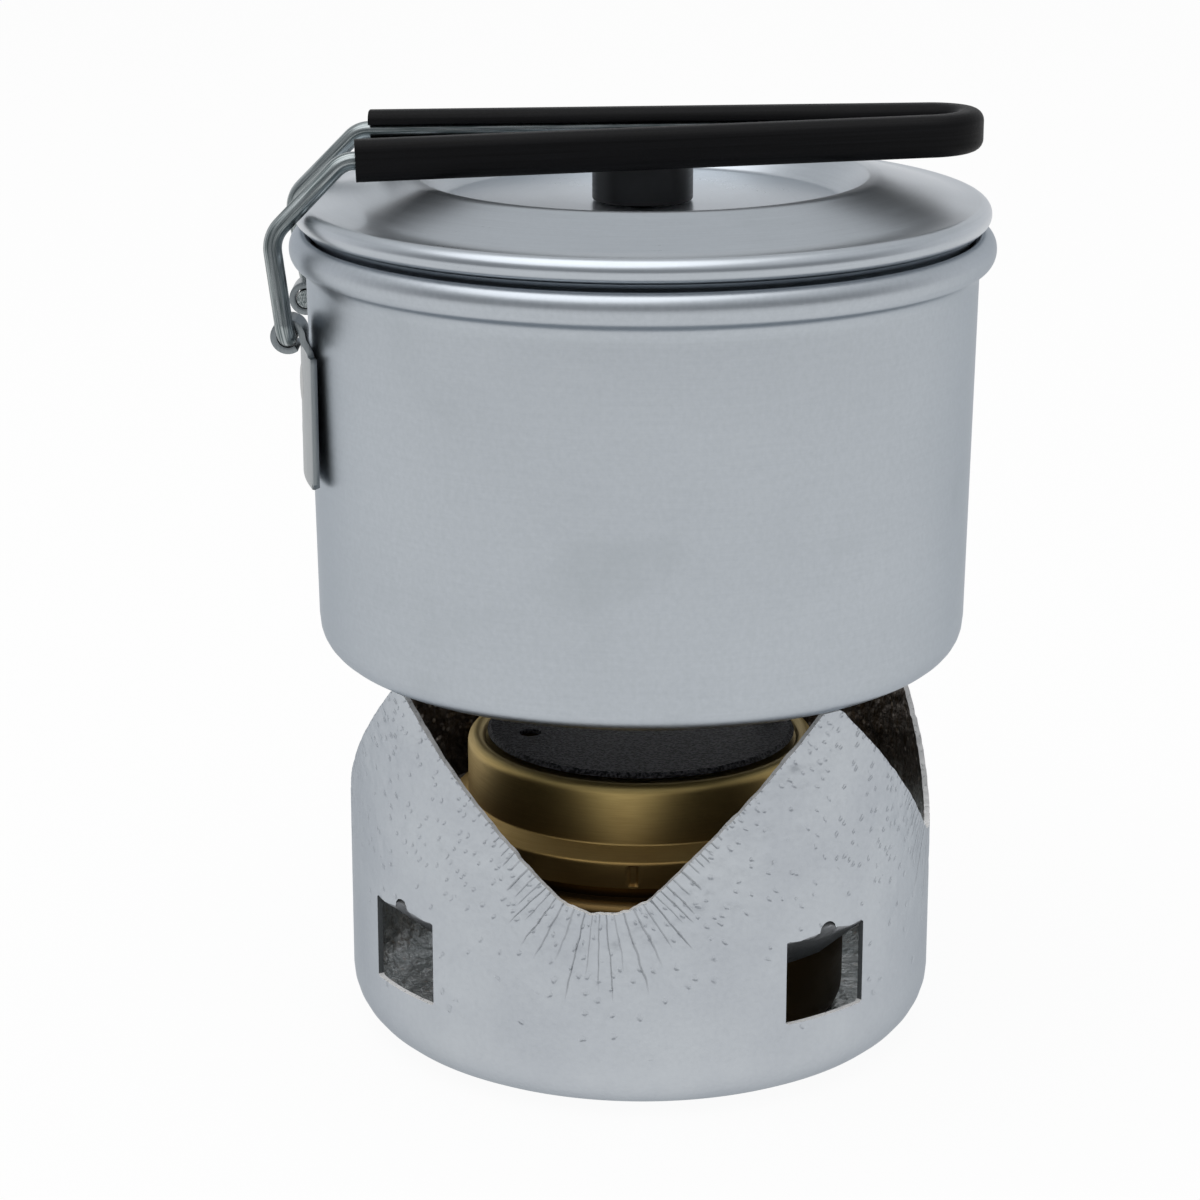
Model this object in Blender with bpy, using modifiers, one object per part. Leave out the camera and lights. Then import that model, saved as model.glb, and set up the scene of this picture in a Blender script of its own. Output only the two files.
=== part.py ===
"""Storm cooker: a pot with a lid and a folding handle, on a windshield that holds a spirit burner.

Metres, +Z up. The origin is on the upright axis, on the ground under the windshield's floor.
A bearing is an angle round that axis in degrees: 0 faces -Y, and it grows towards +X.
"""
from math import asin, cos, degrees, hypot, pi, radians, sin, sqrt, tan

import bmesh
import bpy
from mathutils import Matrix, Vector

# Clearances and facets
GAP = 0.0003                  # between pieces that touch
BORE_PLAY = 0.0003            # round a pin, a rivet or the wire
TIDY = 0.00001                # vertices closer than this are one
SIDES = 48                    # facets round the windshield, pot and lid
BURNER_SIDES = 32
KNOB_SIDES = 24
SMALL_SIDES = 16
RIVET_SIDES = 12
HOLE_SIDES = 8
JET_SIDES = 6
PLATE_SIDES = 72              # facets of the full circle that the bracket's plate is cut from
CORNER_STEPS = 4              # facets along a rounded corner
BEAD_STEPS = 6                # facets along a rolled edge
BEND_STEPS = 4                # points along a bend of the wire
NOSE_STEPS = 10               # points along the turn at the handle's far end
NOTCH_STEPS = 8               # points along half of a notch's edge
NOTCH_CROWDING = 1.4          # draws those points towards the notch's round middle
CHANNEL_STEPS = 7             # facets of the sleeve's channel for the wire
TAB_COLUMNS = 4               # facets across a tab
CUT_PAST = 0.0050             # how far a cutter runs past what it cuts
AXIS_MARK = 0.0100            # drawn length of the empties on the joints' axes

# Windshield, deep drawn from one sheet
BURNER_SPACE = 0.0155         # from the burner's tank out to the windshield's outside
WIND_SHEET = 0.0010
WIND_HEIGHT = 0.0704
WIND_CORNER = 0.0100
ARM_COUNT = 4
ARM_BEARING = 37.8
ARM_TIP_WIDTH = 0.0040
NOTCH_APEX = 0.0325           # where the two straight sides of a notch would meet
NOTCH_FILLET = 0.0134
WINDOW_WIDTH = 0.0173
WINDOW_SILL = 0.0151
WINDOW_HEAD = 0.0307
TAB_TRIM = 0.0007             # a tab is this much shorter than its window
TAB_TILT = 50.0               # inwards from hanging straight down
TAB_SIDE_GAP = 0.0004

# Pot, spun from one disc
POT_SHEET = 0.0010
POT_OVERHANG = 0.0047         # of the pot's wall beyond the windshield's
POT_FLARE = 0.0011            # wider at the mouth than at the base
POT_WALL_HEIGHT = 0.0668      # from the underside to the neck below the rim
POT_CORNER = 0.0057
POT_RIM_HEIGHT = 0.0085       # from the neck to the top of the rim
POT_RIM_OVERHANG = 0.0029
POT_BEAD_WIDTH = 0.0022       # half of the rolled bead's width
POT_BEAD_HEIGHT = 0.0029      # half of its height

# Lid, spun, with a sunken middle for the knob
LID_SHEET = 0.0010
LID_RIM_INSET = 0.0010        # inside the pot's rim
LID_BEAD = 0.0021             # radius of the rolled edge
LID_SEAT_STEP = 0.0008        # from the seat up to the underside of the rolled edge
LID_SKIRT_DEPTH = 0.0070
LID_SKIRT_PLAY = 0.0008
LID_CREST_RADIUS = 0.0393
LID_CREST_RISE = 0.0042       # above the rolled edge
LID_CREST_FLAT = 0.0020       # of the crest before the lid slopes down to its edge
LID_WELL_SLOPE = 0.0033       # from the crest in to the well's floor
LID_WELL_DEPTH = 0.0050
KNOB_RADIUS = 0.0088
KNOB_HEIGHT = 0.0108
KNOB_SIDE_GAP = 0.0009        # to the folded handle on each side
KNOB_EDGE = 0.0010
INSERT_RADIUS = 0.0032
INSERT_LENGTH = 0.0064
SCREW_RADIUS = 0.0020
SCREW_REACH = 0.0048          # of the thread inside the insert
SCREW_HEAD_RADIUS = 0.0037
SCREW_HEAD_HEIGHT = 0.0020
SCREW_HEAD_EDGE = 0.0006
SCREW_SLOT_WIDTH = 0.0009
SCREW_SLOT_DEPTH = 0.0010
WASHER_RADIUS = 0.0060
WASHER_THICKNESS = 0.0008

# Folding handle, a wire loop in a split sleeve, hinged on a bracket on the pot's side
WIRE_RADIUS = 0.0016
PIVOT_DROP = 0.0073           # from the pot's neck down to the pivot
LEG_TURN = 0.0022             # bend radius where a leg turns into its knuckle
WIRE_STUB = 0.0004            # of the wire past its knuckle
KNEE_OUT = 0.0025             # first bend, outwards from the pivot
KNEE_RISE = 0.0172
ELBOW_IN = 0.0098             # second bend, inwards from the pivot
HANDLE_OVER_LID = 0.0009      # from the lid's crest up to the sleeve's open ends
LOOP_TILT = 0.0031            # rise of the loop from its elbows to its far end
LOOP_REACH = 0.1169           # from the pivot to the middle of the wire at the loop's far end
NOSE_RADIUS = 0.0074
KNEE_RADIUS = 0.0040
ELBOW_RADIUS = 0.0030
SLEEVE_START = 0.0119         # from the pivot to the sleeve's open ends
SLEEVE_HEIGHT = 0.0072
SLEEVE_WIDTH = 0.0052
SLEEVE_SLOT = 0.0024
SLEEVE_EDGE = 0.0009
BRACKET_SHEET = 0.0011
BRACKET_SLACK = 0.0112        # the plate's bend radius is this much more than the pot's
BRACKET_HALF = 0.0220
BRACKET_DROP = 0.0265         # from the pivot down to the plate's lower edge
BRACKET_TOP = 0.0035          # from the pivot down to the plate's upper edge
BRACKET_EDGE = 0.0030
KNUCKLE_IN = 0.0130
KNUCKLE_OUT = 0.0199
RIVET_RADIUS = 0.0018
RIVET_HEAD_RADIUS = 0.0034
RIVET_HEAD_HEIGHT = 0.0014
RIVET_TAIL_HEIGHT = 0.0009
RIVET_SIDE = 0.0110           # of the upper two, to each side of the middle
RIVET_UPPER_DROP = 0.0100     # from the pivot
RIVET_LOWER_DROP = 0.0200

# Spirit burner, pressed brass
BRASS_SHEET = 0.0008
TANK_RADIUS = 0.0375
TANK_HEIGHT = 0.0322
TANK_CORNER = 0.0050
TANK_SHOULDER = 0.0022
THREAD_HEIGHT = 0.0005
THREAD_PITCH = 0.0020
THREAD_TURNS = 2
JET_SPACE = 0.0017            # from the jet wall out to the simmer ring
JET_WALL_HEIGHT = 0.0040
JET_COUNT = 24
JET_RADIUS = 0.0006
CROWN_EDGE = 0.0016
CROWN_SKIRT = 0.0050
CUP_FLANGE = 0.0018
FEED_COUNT = 6
FEED_RADIUS = 0.0018
FEED_HEIGHT = 0.0040          # above the cup's foot
WICK_PLAY = 0.0018            # from the wick out to the collar
WICK_HEIGHT = 0.0330

# Simmer ring, dropped over the burner, with a shutter that swings on a rivet
RING_SHEET = 0.0008
RING_INSET = 0.0026           # from the tank's side in to the skirt
RING_SKIRT_HEIGHT = 0.0046
RING_SKIRT_LIFT = 0.0021      # from the tank's lip up to the skirt's edge
RING_STEP_RISE = 0.0022
RING_STEP_IN = 0.0034         # from the skirt in to the barrel
RING_BARREL_HEIGHT = 0.0108   # from the step to the crest
RING_BEAD = 0.0017
RING_FLANGE_DROP = 0.0011     # from the crest down to the flange
RING_MOUTH_RADIUS = 0.0150
DIMPLE_COUNT = 8
DIMPLE_BEARING = -2.0
DIMPLE_RADIUS = 0.0008
DIMPLE_DEPTH = 0.0004
DIMPLE_HEIGHT = 0.0030
SHUTTER_INSET = 0.0035        # from the barrel in to the shutter's edge
SHUTTER_SHEET = 0.0008
SHUTTER_BEVEL = 0.0008
SHUTTER_PIVOT_INSET = 0.0040  # from the shutter's edge in to the rivet
SHUTTER_BEARING = 105.4
PULL_HOLE_RADIUS = 0.0020
PULL_HOLE_INSET = 0.0073      # from the shutter's edge in to the hole
PIVOT_RIVET_RADIUS = 0.0016
PIVOT_RIVET_HEAD = 0.0029
PIVOT_RIVET_DOME = 0.0010
PIVOT_WASHER_RADIUS = 0.0033

# Sizes that follow from the ones above
WIND_RADIUS = TANK_RADIUS + BURNER_SPACE
TAB_LENGTH = WINDOW_HEAD - WINDOW_SILL - TAB_TRIM
POT_BASE_RADIUS = WIND_RADIUS + POT_OVERHANG
POT_MOUTH_RADIUS = POT_BASE_RADIUS + POT_FLARE
LID_RIM_RADIUS = POT_MOUTH_RADIUS + POT_RIM_OVERHANG - LID_RIM_INSET
LID_WELL_RADIUS = LID_CREST_RADIUS - LID_WELL_SLOPE
LEG_SPREAD = KNUCKLE_OUT + LEG_TURN + GAP
KNUCKLE_ROLL = WIRE_RADIUS + BORE_PLAY + BRACKET_SHEET
BRACKET_BEND = POT_MOUTH_RADIUS + BRACKET_SLACK
RING_SKIRT_RADIUS = TANK_RADIUS - RING_INSET
RING_BARREL_RADIUS = RING_SKIRT_RADIUS - RING_STEP_IN
SHUTTER_RADIUS = RING_BARREL_RADIUS - SHUTTER_INSET
SHUTTER_PIVOT = SHUTTER_RADIUS - SHUTTER_PIVOT_INSET
COLLAR_RADIUS = RING_SKIRT_RADIUS - RING_SHEET - DIMPLE_DEPTH - GAP
TANK_LIP_RADIUS = COLLAR_RADIUS + GAP
JET_WALL_RADIUS = RING_BARREL_RADIUS - RING_SHEET - JET_SPACE
WELL_RADIUS = JET_WALL_RADIUS - 2 * CROWN_EDGE - GAP

# Heights that follow
POT_FLOOR = WIND_HEIGHT + GAP
POT_NECK = POT_FLOOR + POT_WALL_HEIGHT
POT_TOP = POT_NECK + POT_RIM_HEIGHT
LID_SEAT = POT_TOP + GAP
LID_EDGE_HEIGHT = LID_SEAT + LID_SEAT_STEP + LID_BEAD
LID_CREST_HEIGHT = LID_EDGE_HEIGHT + LID_BEAD + LID_CREST_RISE
LID_WELL_FLOOR = LID_CREST_HEIGHT - LID_WELL_DEPTH
PIVOT_Z = POT_NECK - PIVOT_DROP
ELBOW_Z = LID_CREST_HEIGHT + HANDLE_OVER_LID + SLEEVE_HEIGHT / 2
TANK_FOOT = WIND_SHEET + GAP
TANK_TOP = TANK_FOOT + TANK_HEIGHT
CROWN_FLANGE_TOP = TANK_TOP - BRASS_SHEET - GAP
SKIRT_EDGE = TANK_TOP + RING_SKIRT_LIFT
STEP_FOOT = SKIRT_EDGE + RING_SKIRT_HEIGHT
STEP_TOP = STEP_FOOT + RING_STEP_RISE
RING_CREST = STEP_TOP + RING_BARREL_HEIGHT
RING_FLANGE_TOP = RING_CREST - RING_FLANGE_DROP
SHUTTER_UNDERSIDE = RING_CREST + GAP

# Colours as linear RGB, then metallic and roughness
FINISHES = {
    "spun_aluminium": ((0.56, 0.60, 0.63), 1.0, 0.38),
    "drawn_aluminium": ((0.60, 0.63, 0.67), 1.0, 0.42),
    "galvanised_wire": ((0.33, 0.35, 0.35), 1.0, 0.36),
    "stainless_sheet": ((0.48, 0.49, 0.50), 1.0, 0.34),
    "black_sleeve": ((0.011, 0.011, 0.012), 0.0, 0.55),
    "black_knob": ((0.010, 0.010, 0.011), 0.0, 0.40),
    "satin_brass": ((0.32, 0.23, 0.075), 1.0, 0.34),
    "steel_hardware": ((0.42, 0.42, 0.42), 1.0, 0.40),
    "cotton_wick": ((0.58, 0.54, 0.45), 0.0, 0.95),
    "black_coat": ((0.014, 0.014, 0.015), 0.0, 0.60),
}

for old in list(bpy.data.objects):
    bpy.data.objects.remove(old, do_unlink=True)

parts = bpy.data.collections.new("storm_cooker")
cutters = bpy.data.collections.new("cutters")
bpy.context.scene.collection.children.link(parts)
bpy.context.scene.collection.children.link(cutters)


def finish(name):
    """The material of one finish, made once."""
    if name in bpy.data.materials:
        return bpy.data.materials[name]
    colour, metallic, roughness = FINISHES[name]
    material = bpy.data.materials.new(name)
    material.use_nodes = True
    shader = material.node_tree.nodes["Principled BSDF"]
    shader.inputs["Base Color"].default_value = (*colour, 1.0)
    shader.inputs["Metallic"].default_value = metallic
    shader.inputs["Roughness"].default_value = roughness
    return material


def polar(radius, bearing, height=0.0):
    """A point at a bearing in degrees from the upright axis."""
    return Vector((radius * sin(radians(bearing)), -radius * cos(radians(bearing)), height))


def arc(centre, half_width, half_height, start, end, steps):
    """Points on an ellipse in the (radius, height) plane, angles in degrees from outwards towards up."""
    angles = [radians(start + (end - start) * i / steps) for i in range(steps + 1)]
    return [(centre[0] + half_width * cos(a), centre[1] + half_height * sin(a)) for a in angles]


def dome(foot, radius, rise):
    """The profile of a rivet's round head, from its crown down to its edge."""
    return [(0.0, foot + rise)] + arc((0.0, foot), radius, rise, 60, 0, 2)


def place(name, mesh, look, collection=None):
    """A new object for a mesh or a curve, with its finish."""
    piece = bpy.data.objects.new(name, mesh)
    if look:
        mesh.materials.append(finish(look))
    (collection or parts).objects.link(piece)
    return piece


def as_cutter(piece):
    """Marks a helper object, which is no part of the cooker."""
    piece.hide_render = True
    piece.display_type = "WIRE"
    return piece


def turned(name, profile, look, sides=SIDES, ring=False, collection=None):
    """A piece of revolution: (radius, height) points that run down its outer side."""
    mesh = bpy.data.meshes.new(name)
    edges = [(i, i + 1) for i in range(len(profile) - 1)]
    if ring:
        edges.append((len(profile) - 1, 0))
    mesh.from_pydata([(r, 0.0, z) for r, z in profile], edges, [])
    piece = place(name, mesh, look, collection)
    screw = piece.modifiers.new("turn", "SCREW")
    screw.axis = "Z"
    screw.steps = sides
    screw.render_steps = sides
    screw.use_merge_vertices = True
    screw.merge_threshold = TIDY
    screw.use_smooth_shade = True
    return piece


def boolean(piece, tool, operation="DIFFERENCE"):
    """Cuts a piece by a tool, joins the two, or keeps what they share."""
    step = piece.modifiers.new(operation.lower(), "BOOLEAN")
    step.operation = operation
    step.solver = "EXACT"
    step.object = tool
    return piece


def pins(name, places, radius, length, sides=HOLE_SIDES):
    """Cylinders at (centre, direction) places, as one cutter."""
    form = bmesh.new()
    for centre, direction in places:
        turn = Vector(direction).to_track_quat("Z", "Y").to_matrix().to_4x4()
        bmesh.ops.create_cone(
            form, cap_ends=True, segments=sides, radius1=radius, radius2=radius, depth=length,
            matrix=Matrix.Translation(centre) @ turn)
    mesh = bpy.data.meshes.new(name)
    form.to_mesh(mesh)
    form.free()
    return as_cutter(place(name, mesh, None, cutters))


def block(name, low, high):
    """A box between two corners, as a cutter."""
    low, high = Vector(low), Vector(high)
    form = bmesh.new()
    bmesh.ops.create_cube(form, size=1.0)
    bmesh.ops.scale(form, vec=high - low, verts=form.verts)
    bmesh.ops.translate(form, vec=(low + high) / 2, verts=form.verts)
    mesh = bpy.data.meshes.new(name)
    form.to_mesh(mesh)
    form.free()
    return as_cutter(place(name, mesh, None, cutters))


def ring_of(count, first=0.0):
    """Bearings spread evenly round the axis."""
    return [first + 360.0 * i / count for i in range(count)]


# Windshield
WIND_MIDDLE = WIND_RADIUS - WIND_SHEET / 2
SECTOR = 2 * pi * WIND_RADIUS / ARM_COUNT
NOTCH_HALF = (SECTOR - ARM_TIP_WIDTH) / 2
NOTCH_SLOPE = (WIND_HEIGHT - NOTCH_APEX) / NOTCH_HALF
NOTCH_BEARING = ARM_BEARING - 180.0 / ARM_COUNT


def notch_edge(along):
    """Height of a notch's edge, at a distance along the wall from the notch's middle."""
    steep = sqrt(1.0 + NOTCH_SLOPE ** 2)
    tangent = NOTCH_FILLET * NOTCH_SLOPE / steep
    if abs(along) >= tangent:
        return NOTCH_APEX + NOTCH_SLOPE * abs(along)
    return NOTCH_APEX + NOTCH_FILLET * steep - sqrt(NOTCH_FILLET ** 2 - along ** 2)


def wall_cutter(name, bearings, stations, floor, ceiling):
    """Blocks through the windshield's wall: stations along it, and a floor and a ceiling at each."""
    form = bmesh.new()
    inner = WIND_RADIUS - CUT_PAST
    outer = WIND_RADIUS + CUT_PAST
    for bearing in bearings:
        rows = []
        for along in stations:
            at = bearing + degrees(along / WIND_RADIUS)
            corners = [(inner, floor(along)), (outer, floor(along)), (outer, ceiling), (inner, ceiling)]
            rows.append([form.verts.new(polar(r, at, z)) for r, z in corners])
        for here, there in zip(rows, rows[1:]):
            for i in range(4):
                form.faces.new((here[i], there[i], there[(i + 1) % 4], here[(i + 1) % 4]))
        form.faces.new(rows[0])
        form.faces.new(reversed(rows[-1]))
    bmesh.ops.recalc_face_normals(form, faces=form.faces)
    mesh = bpy.data.meshes.new(name)
    form.to_mesh(mesh)
    form.free()
    return as_cutter(place(name, mesh, None, cutters))


def window_tab(name, bearing):
    """The flap of a window, bent inwards along the window's upper edge."""
    half = WINDOW_WIDTH / 2 - TAB_SIDE_GAP
    lean = radians(TAB_TILT)
    down = polar(-sin(lean), bearing, -cos(lean))
    across = Vector((cos(radians(bearing)), sin(radians(bearing)), 0.0))
    out = polar(1.0, bearing)
    form = bmesh.new()
    root, tip = [], []
    for i in range(TAB_COLUMNS + 1):
        side = -half + 2 * half * i / TAB_COLUMNS
        rise = Vector((0.0, 0.0, WINDOW_HEAD + WIND_SHEET / 2))
        start = out * sqrt(WIND_MIDDLE ** 2 - side ** 2) + across * side + rise
        root.append(form.verts.new(start))
        tip.append(form.verts.new(start + down * (TAB_LENGTH + WIND_SHEET / 2)))
    for i in range(TAB_COLUMNS):
        form.faces.new((root[i], root[i + 1], tip[i + 1], tip[i]))
    mesh = bpy.data.meshes.new(name)
    form.to_mesh(mesh)
    form.free()
    tab = as_cutter(place(name, mesh, None, cutters))
    wall = tab.modifiers.new("wall", "SOLIDIFY")
    wall.thickness = WIND_SHEET
    wall.offset = 0.0
    return tab


def make_windshield():
    """A drawn cup whose wall is cut by deep notches into arms, with a window under each arm."""
    inner = WIND_CORNER - WIND_SHEET
    flat = WIND_RADIUS - WIND_CORNER
    profile = [(0.0, WIND_SHEET)]
    profile += arc((flat, WIND_CORNER), inner, inner, -90, 0, CORNER_STEPS)
    profile += [(WIND_RADIUS - WIND_SHEET, WIND_HEIGHT), (WIND_RADIUS, WIND_HEIGHT)]
    profile += arc((flat, WIND_CORNER), WIND_CORNER, WIND_CORNER, 0, -90, CORNER_STEPS + 1)
    profile += [(0.0, 0.0)]
    shell = turned("windshield", profile, "drawn_aluminium")
    arms = ring_of(ARM_COUNT, ARM_BEARING)
    side = [NOTCH_HALF * (i / NOTCH_STEPS) ** NOTCH_CROWDING for i in range(1, NOTCH_STEPS + 1)]
    stations = [-s for s in reversed(side)] + [0.0] + side
    bearings = ring_of(ARM_COUNT, NOTCH_BEARING)
    notches = wall_cutter("notch_cutter", bearings, stations, notch_edge, WIND_HEIGHT + CUT_PAST)
    boolean(shell, notches)
    half = WIND_RADIUS * asin(WINDOW_WIDTH / 2 / WIND_RADIUS)
    openings = wall_cutter("window_cutter", arms, [-half, 0.0, half], lambda s: WINDOW_SILL, WINDOW_HEAD)
    boolean(shell, openings)
    for i, bearing in enumerate(arms):
        boolean(shell, window_tab(f"tab_{i + 1}", bearing), "UNION")
    return shell


# Pot
def pot_radius(height):
    """Outside radius of the pot's wall, which opens slightly upwards."""
    return POT_BASE_RADIUS + (POT_MOUTH_RADIUS - POT_BASE_RADIUS) * (height - POT_FLOOR) / POT_WALL_HEIGHT


# The knuckles just clear the pot's wall at their inner ends
PIVOT_OUT = sqrt(pot_radius(PIVOT_Z) ** 2 - KNUCKLE_IN ** 2) + GAP + KNUCKLE_ROLL


def make_pot():
    """A straight pot with a rounded foot and a rolled rim."""
    inner = POT_CORNER - POT_SHEET
    flat = POT_BASE_RADIUS - POT_CORNER
    corner = (flat, POT_FLOOR + POT_CORNER)
    mouth = POT_MOUTH_RADIUS - POT_SHEET
    bead = (POT_MOUTH_RADIUS + POT_RIM_OVERHANG - POT_BEAD_WIDTH, POT_TOP - POT_BEAD_HEIGHT)
    profile = [(0.0, POT_FLOOR + POT_SHEET)]
    profile += arc(corner, inner, inner, -90, 0, CORNER_STEPS - 1)
    profile += [(mouth, POT_NECK), (mouth, POT_TOP - POT_BEAD_HEIGHT / 2)]
    profile += arc(bead, POT_BEAD_WIDTH, POT_BEAD_HEIGHT, 110, -65, BEAD_STEPS)
    profile += [(POT_MOUTH_RADIUS, POT_NECK)]
    profile += arc(corner, POT_CORNER, POT_CORNER, 0, -90, CORNER_STEPS)
    profile += [(0.0, POT_FLOOR)]
    pot = turned("pot", profile, "spun_aluminium")
    boolean(pot, pins("pot_rivet_holes", rivet_places(), RIVET_RADIUS + BORE_PLAY, 2 * CUT_PAST))
    return pot


# Handle bracket and its rivets
def rivet_places():
    """Where the bracket's rivets cross the pot's wall, and the way out."""
    places = []
    spots = [(-RIVET_SIDE, RIVET_UPPER_DROP), (RIVET_SIDE, RIVET_UPPER_DROP), (0.0, RIVET_LOWER_DROP)]
    for side, drop in spots:
        height = PIVOT_Z - drop
        radius = pot_radius(height)
        out = Vector((-sqrt(radius ** 2 - side ** 2), side, 0.0)) / radius
        places.append((out * radius + Vector((0.0, 0.0, height)), out))
    return places


def bracket_centre():
    """X of the axis that the bracket's plate bends round, which leaves the gap at the plate's middle."""
    return BRACKET_BEND - pot_radius(PIVOT_Z - BRACKET_TOP) - GAP


def bracket_outline():
    """The plate's outline as (y, z), with two ears that reach the knuckles."""
    low = PIVOT_Z - BRACKET_DROP
    top = PIVOT_Z - BRACKET_TOP
    turn = BRACKET_EDGE
    corner = arc((BRACKET_HALF - turn, low + turn), turn, turn, -90, 0, CORNER_STEPS - 1)
    half = corner + [(BRACKET_HALF, top), (KNUCKLE_OUT, top), (KNUCKLE_OUT, PIVOT_Z), (KNUCKLE_IN, PIVOT_Z)]
    half += [(KNUCKLE_IN, top)]
    return half + [(-y, z) for y, z in reversed(half)]


def make_bracket():
    """A curved plate whose upper edge is rolled into two knuckles round the wire."""
    thick = BRACKET_SHEET
    low, high = PIVOT_Z - BRACKET_DROP - CUT_PAST, PIVOT_Z + CUT_PAST
    face, back = BRACKET_BEND + thick, BRACKET_BEND
    band = [(face, high), (face, low), (back, low), (back, high)]
    plate = turned("handle_bracket", band, "stainless_sheet", PLATE_SIDES, ring=True)
    plate.location.x = bracket_centre()
    form = bmesh.new()
    outline = [form.verts.new((-PIVOT_OUT - 2 * CUT_PAST, y, z)) for y, z in bracket_outline()]
    swept = bmesh.ops.extrude_face_region(form, geom=[form.faces.new(outline)])
    moved = [v for v in swept["geom"] if isinstance(v, bmesh.types.BMVert)]
    bmesh.ops.translate(form, vec=(4 * CUT_PAST, 0.0, 0.0), verts=moved)
    bmesh.ops.recalc_face_normals(form, faces=form.faces)
    mesh = bpy.data.meshes.new("bracket_outline")
    form.to_mesh(mesh)
    form.free()
    boolean(plate, as_cutter(place("bracket_outline", mesh, None, cutters)), "INTERSECT")
    sideways = (0.0, 1.0, 0.0)
    middle = (KNUCKLE_IN + KNUCKLE_OUT) / 2
    bore = WIRE_RADIUS + BORE_PLAY
    rolls = [(Vector((-PIVOT_OUT, side * middle, PIVOT_Z)), sideways) for side in (-1, 1)]
    knuckles = pins("knuckle_rolls", rolls, KNUCKLE_ROLL, KNUCKLE_OUT - KNUCKLE_IN, SMALL_SIDES)
    boolean(plate, knuckles, "UNION")
    axis = [(Vector((-PIVOT_OUT, 0.0, PIVOT_Z)), sideways)]
    boolean(plate, pins("knuckle_bore", axis, bore, 3 * BRACKET_HALF, SMALL_SIDES))
    boolean(plate, pins("plate_rivet_holes", rivet_places(), RIVET_RADIUS + BORE_PLAY, 2 * CUT_PAST))
    return plate


def make_bracket_rivets():
    """Rivets with a domed head on the plate and a flat tail inside the pot."""
    rivets = []
    for i, (centre, out) in enumerate(rivet_places()):
        plate_out = BRACKET_BEND + BRACKET_SHEET
        face = plate_out - hypot(centre.x - bracket_centre(), centre.y)
        head = face + GAP
        tail = -POT_SHEET - GAP - RIVET_HEAD_RADIUS ** 2 / (2 * POT_BASE_RADIUS)
        profile = dome(head, RIVET_HEAD_RADIUS, RIVET_HEAD_HEIGHT)
        profile += [(RIVET_RADIUS, head), (RIVET_RADIUS, tail), (RIVET_HEAD_RADIUS, tail)]
        profile += [(RIVET_HEAD_RADIUS, tail - RIVET_TAIL_HEIGHT), (0.0, tail - RIVET_TAIL_HEIGHT)]
        rivet = turned(f"bracket_rivet_{i + 1}", profile, "steel_hardware", RIVET_SIDES)
        turn = out.to_track_quat("Z", "Y").to_matrix().to_4x4()
        rivet.matrix_world = Matrix.Translation(centre) @ turn
        rivets.append(rivet)
    return rivets


# Folding handle
def loop_half(reach):
    """Half the loop's width at a distance from the pivot: it passes the knob, and narrows to the nose."""
    far = LOOP_REACH - NOSE_RADIUS
    at_knob = KNOB_RADIUS + KNOB_SIDE_GAP + SLEEVE_WIDTH / 2
    return NOSE_RADIUS + (at_knob - NOSE_RADIUS) * (far - reach) / (far - PIVOT_OUT)


def loop_height(reach):
    """Height of the loop's wire at a distance from the pivot."""
    return ELBOW_Z + LOOP_TILT * (reach - ELBOW_IN) / (LOOP_REACH - ELBOW_IN)


def loop_point(reach, half=None):
    """A point of the loop's wire on the near side, at a distance from the pivot."""
    return Vector((reach - PIVOT_OUT, -(loop_half(reach) if half is None else half), loop_height(reach)))


def nose_points():
    """The turn at the loop's far end, from the near side to the far side."""
    points = []
    for i in range(NOSE_STEPS + 1):
        a = pi * i / NOSE_STEPS
        reach = LOOP_REACH - NOSE_RADIUS + NOSE_RADIUS * sin(a)
        points.append(loop_point(reach, NOSE_RADIUS * cos(a)))
    return points


def mirrored(points):
    """The same points on the far side, in reverse."""
    return [Vector((p.x, -p.y, p.z)) for p in reversed(points)]


def rounded(corner, before, after, radius, steps):
    """Points on the bend at a corner between two straight runs."""
    back = (before - corner).normalized()
    ahead = (after - corner).normalized()
    half = back.angle(ahead) / 2
    reach = radius / tan(half)
    centre = corner + (back + ahead).normalized() * (radius / sin(half))
    start, end = corner + back * reach - centre, corner + ahead * reach - centre
    return [centre + start.slerp(end, i / steps) * radius for i in range(steps + 1)]


def tube(name, points, look):
    """A curve of straight runs through points."""
    curve = bpy.data.curves.new(name, "CURVE")
    curve.dimensions = "3D"
    spline = curve.splines.new("POLY")
    spline.points.add(len(points) - 1)
    for point, place_at in zip(spline.points, points):
        point.co = (*place_at, 1.0)
    spline.use_smooth = True
    curve.use_fill_caps = True
    return place(name, curve, look)


def make_wire():
    """One bent wire: ends in the knuckles, two legs, and a loop that narrows to a round nose."""
    end = Vector((-PIVOT_OUT, WIRE_STUB - KNUCKLE_IN, PIVOT_Z))
    foot = Vector((-PIVOT_OUT, -LEG_SPREAD, PIVOT_Z))
    elbow = loop_point(ELBOW_IN)
    share = KNEE_RISE / (ELBOW_Z - PIVOT_Z)
    knee_side = LEG_SPREAD + (loop_half(ELBOW_IN) - LEG_SPREAD) * share
    knee = Vector((-PIVOT_OUT - KNEE_OUT, -knee_side, PIVOT_Z + KNEE_RISE))
    nose = nose_points()
    route = [end] + rounded(foot, end, knee, LEG_TURN, BEND_STEPS)
    route += rounded(knee, foot, elbow, KNEE_RADIUS, BEND_STEPS)
    route += rounded(elbow, knee, nose[0], ELBOW_RADIUS, BEND_STEPS)
    wire = tube("handle_wire", route + nose + mirrored(route), "galvanised_wire")
    wire.data.bevel_depth = WIRE_RADIUS
    wire.data.bevel_resolution = 2
    return wire


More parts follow.
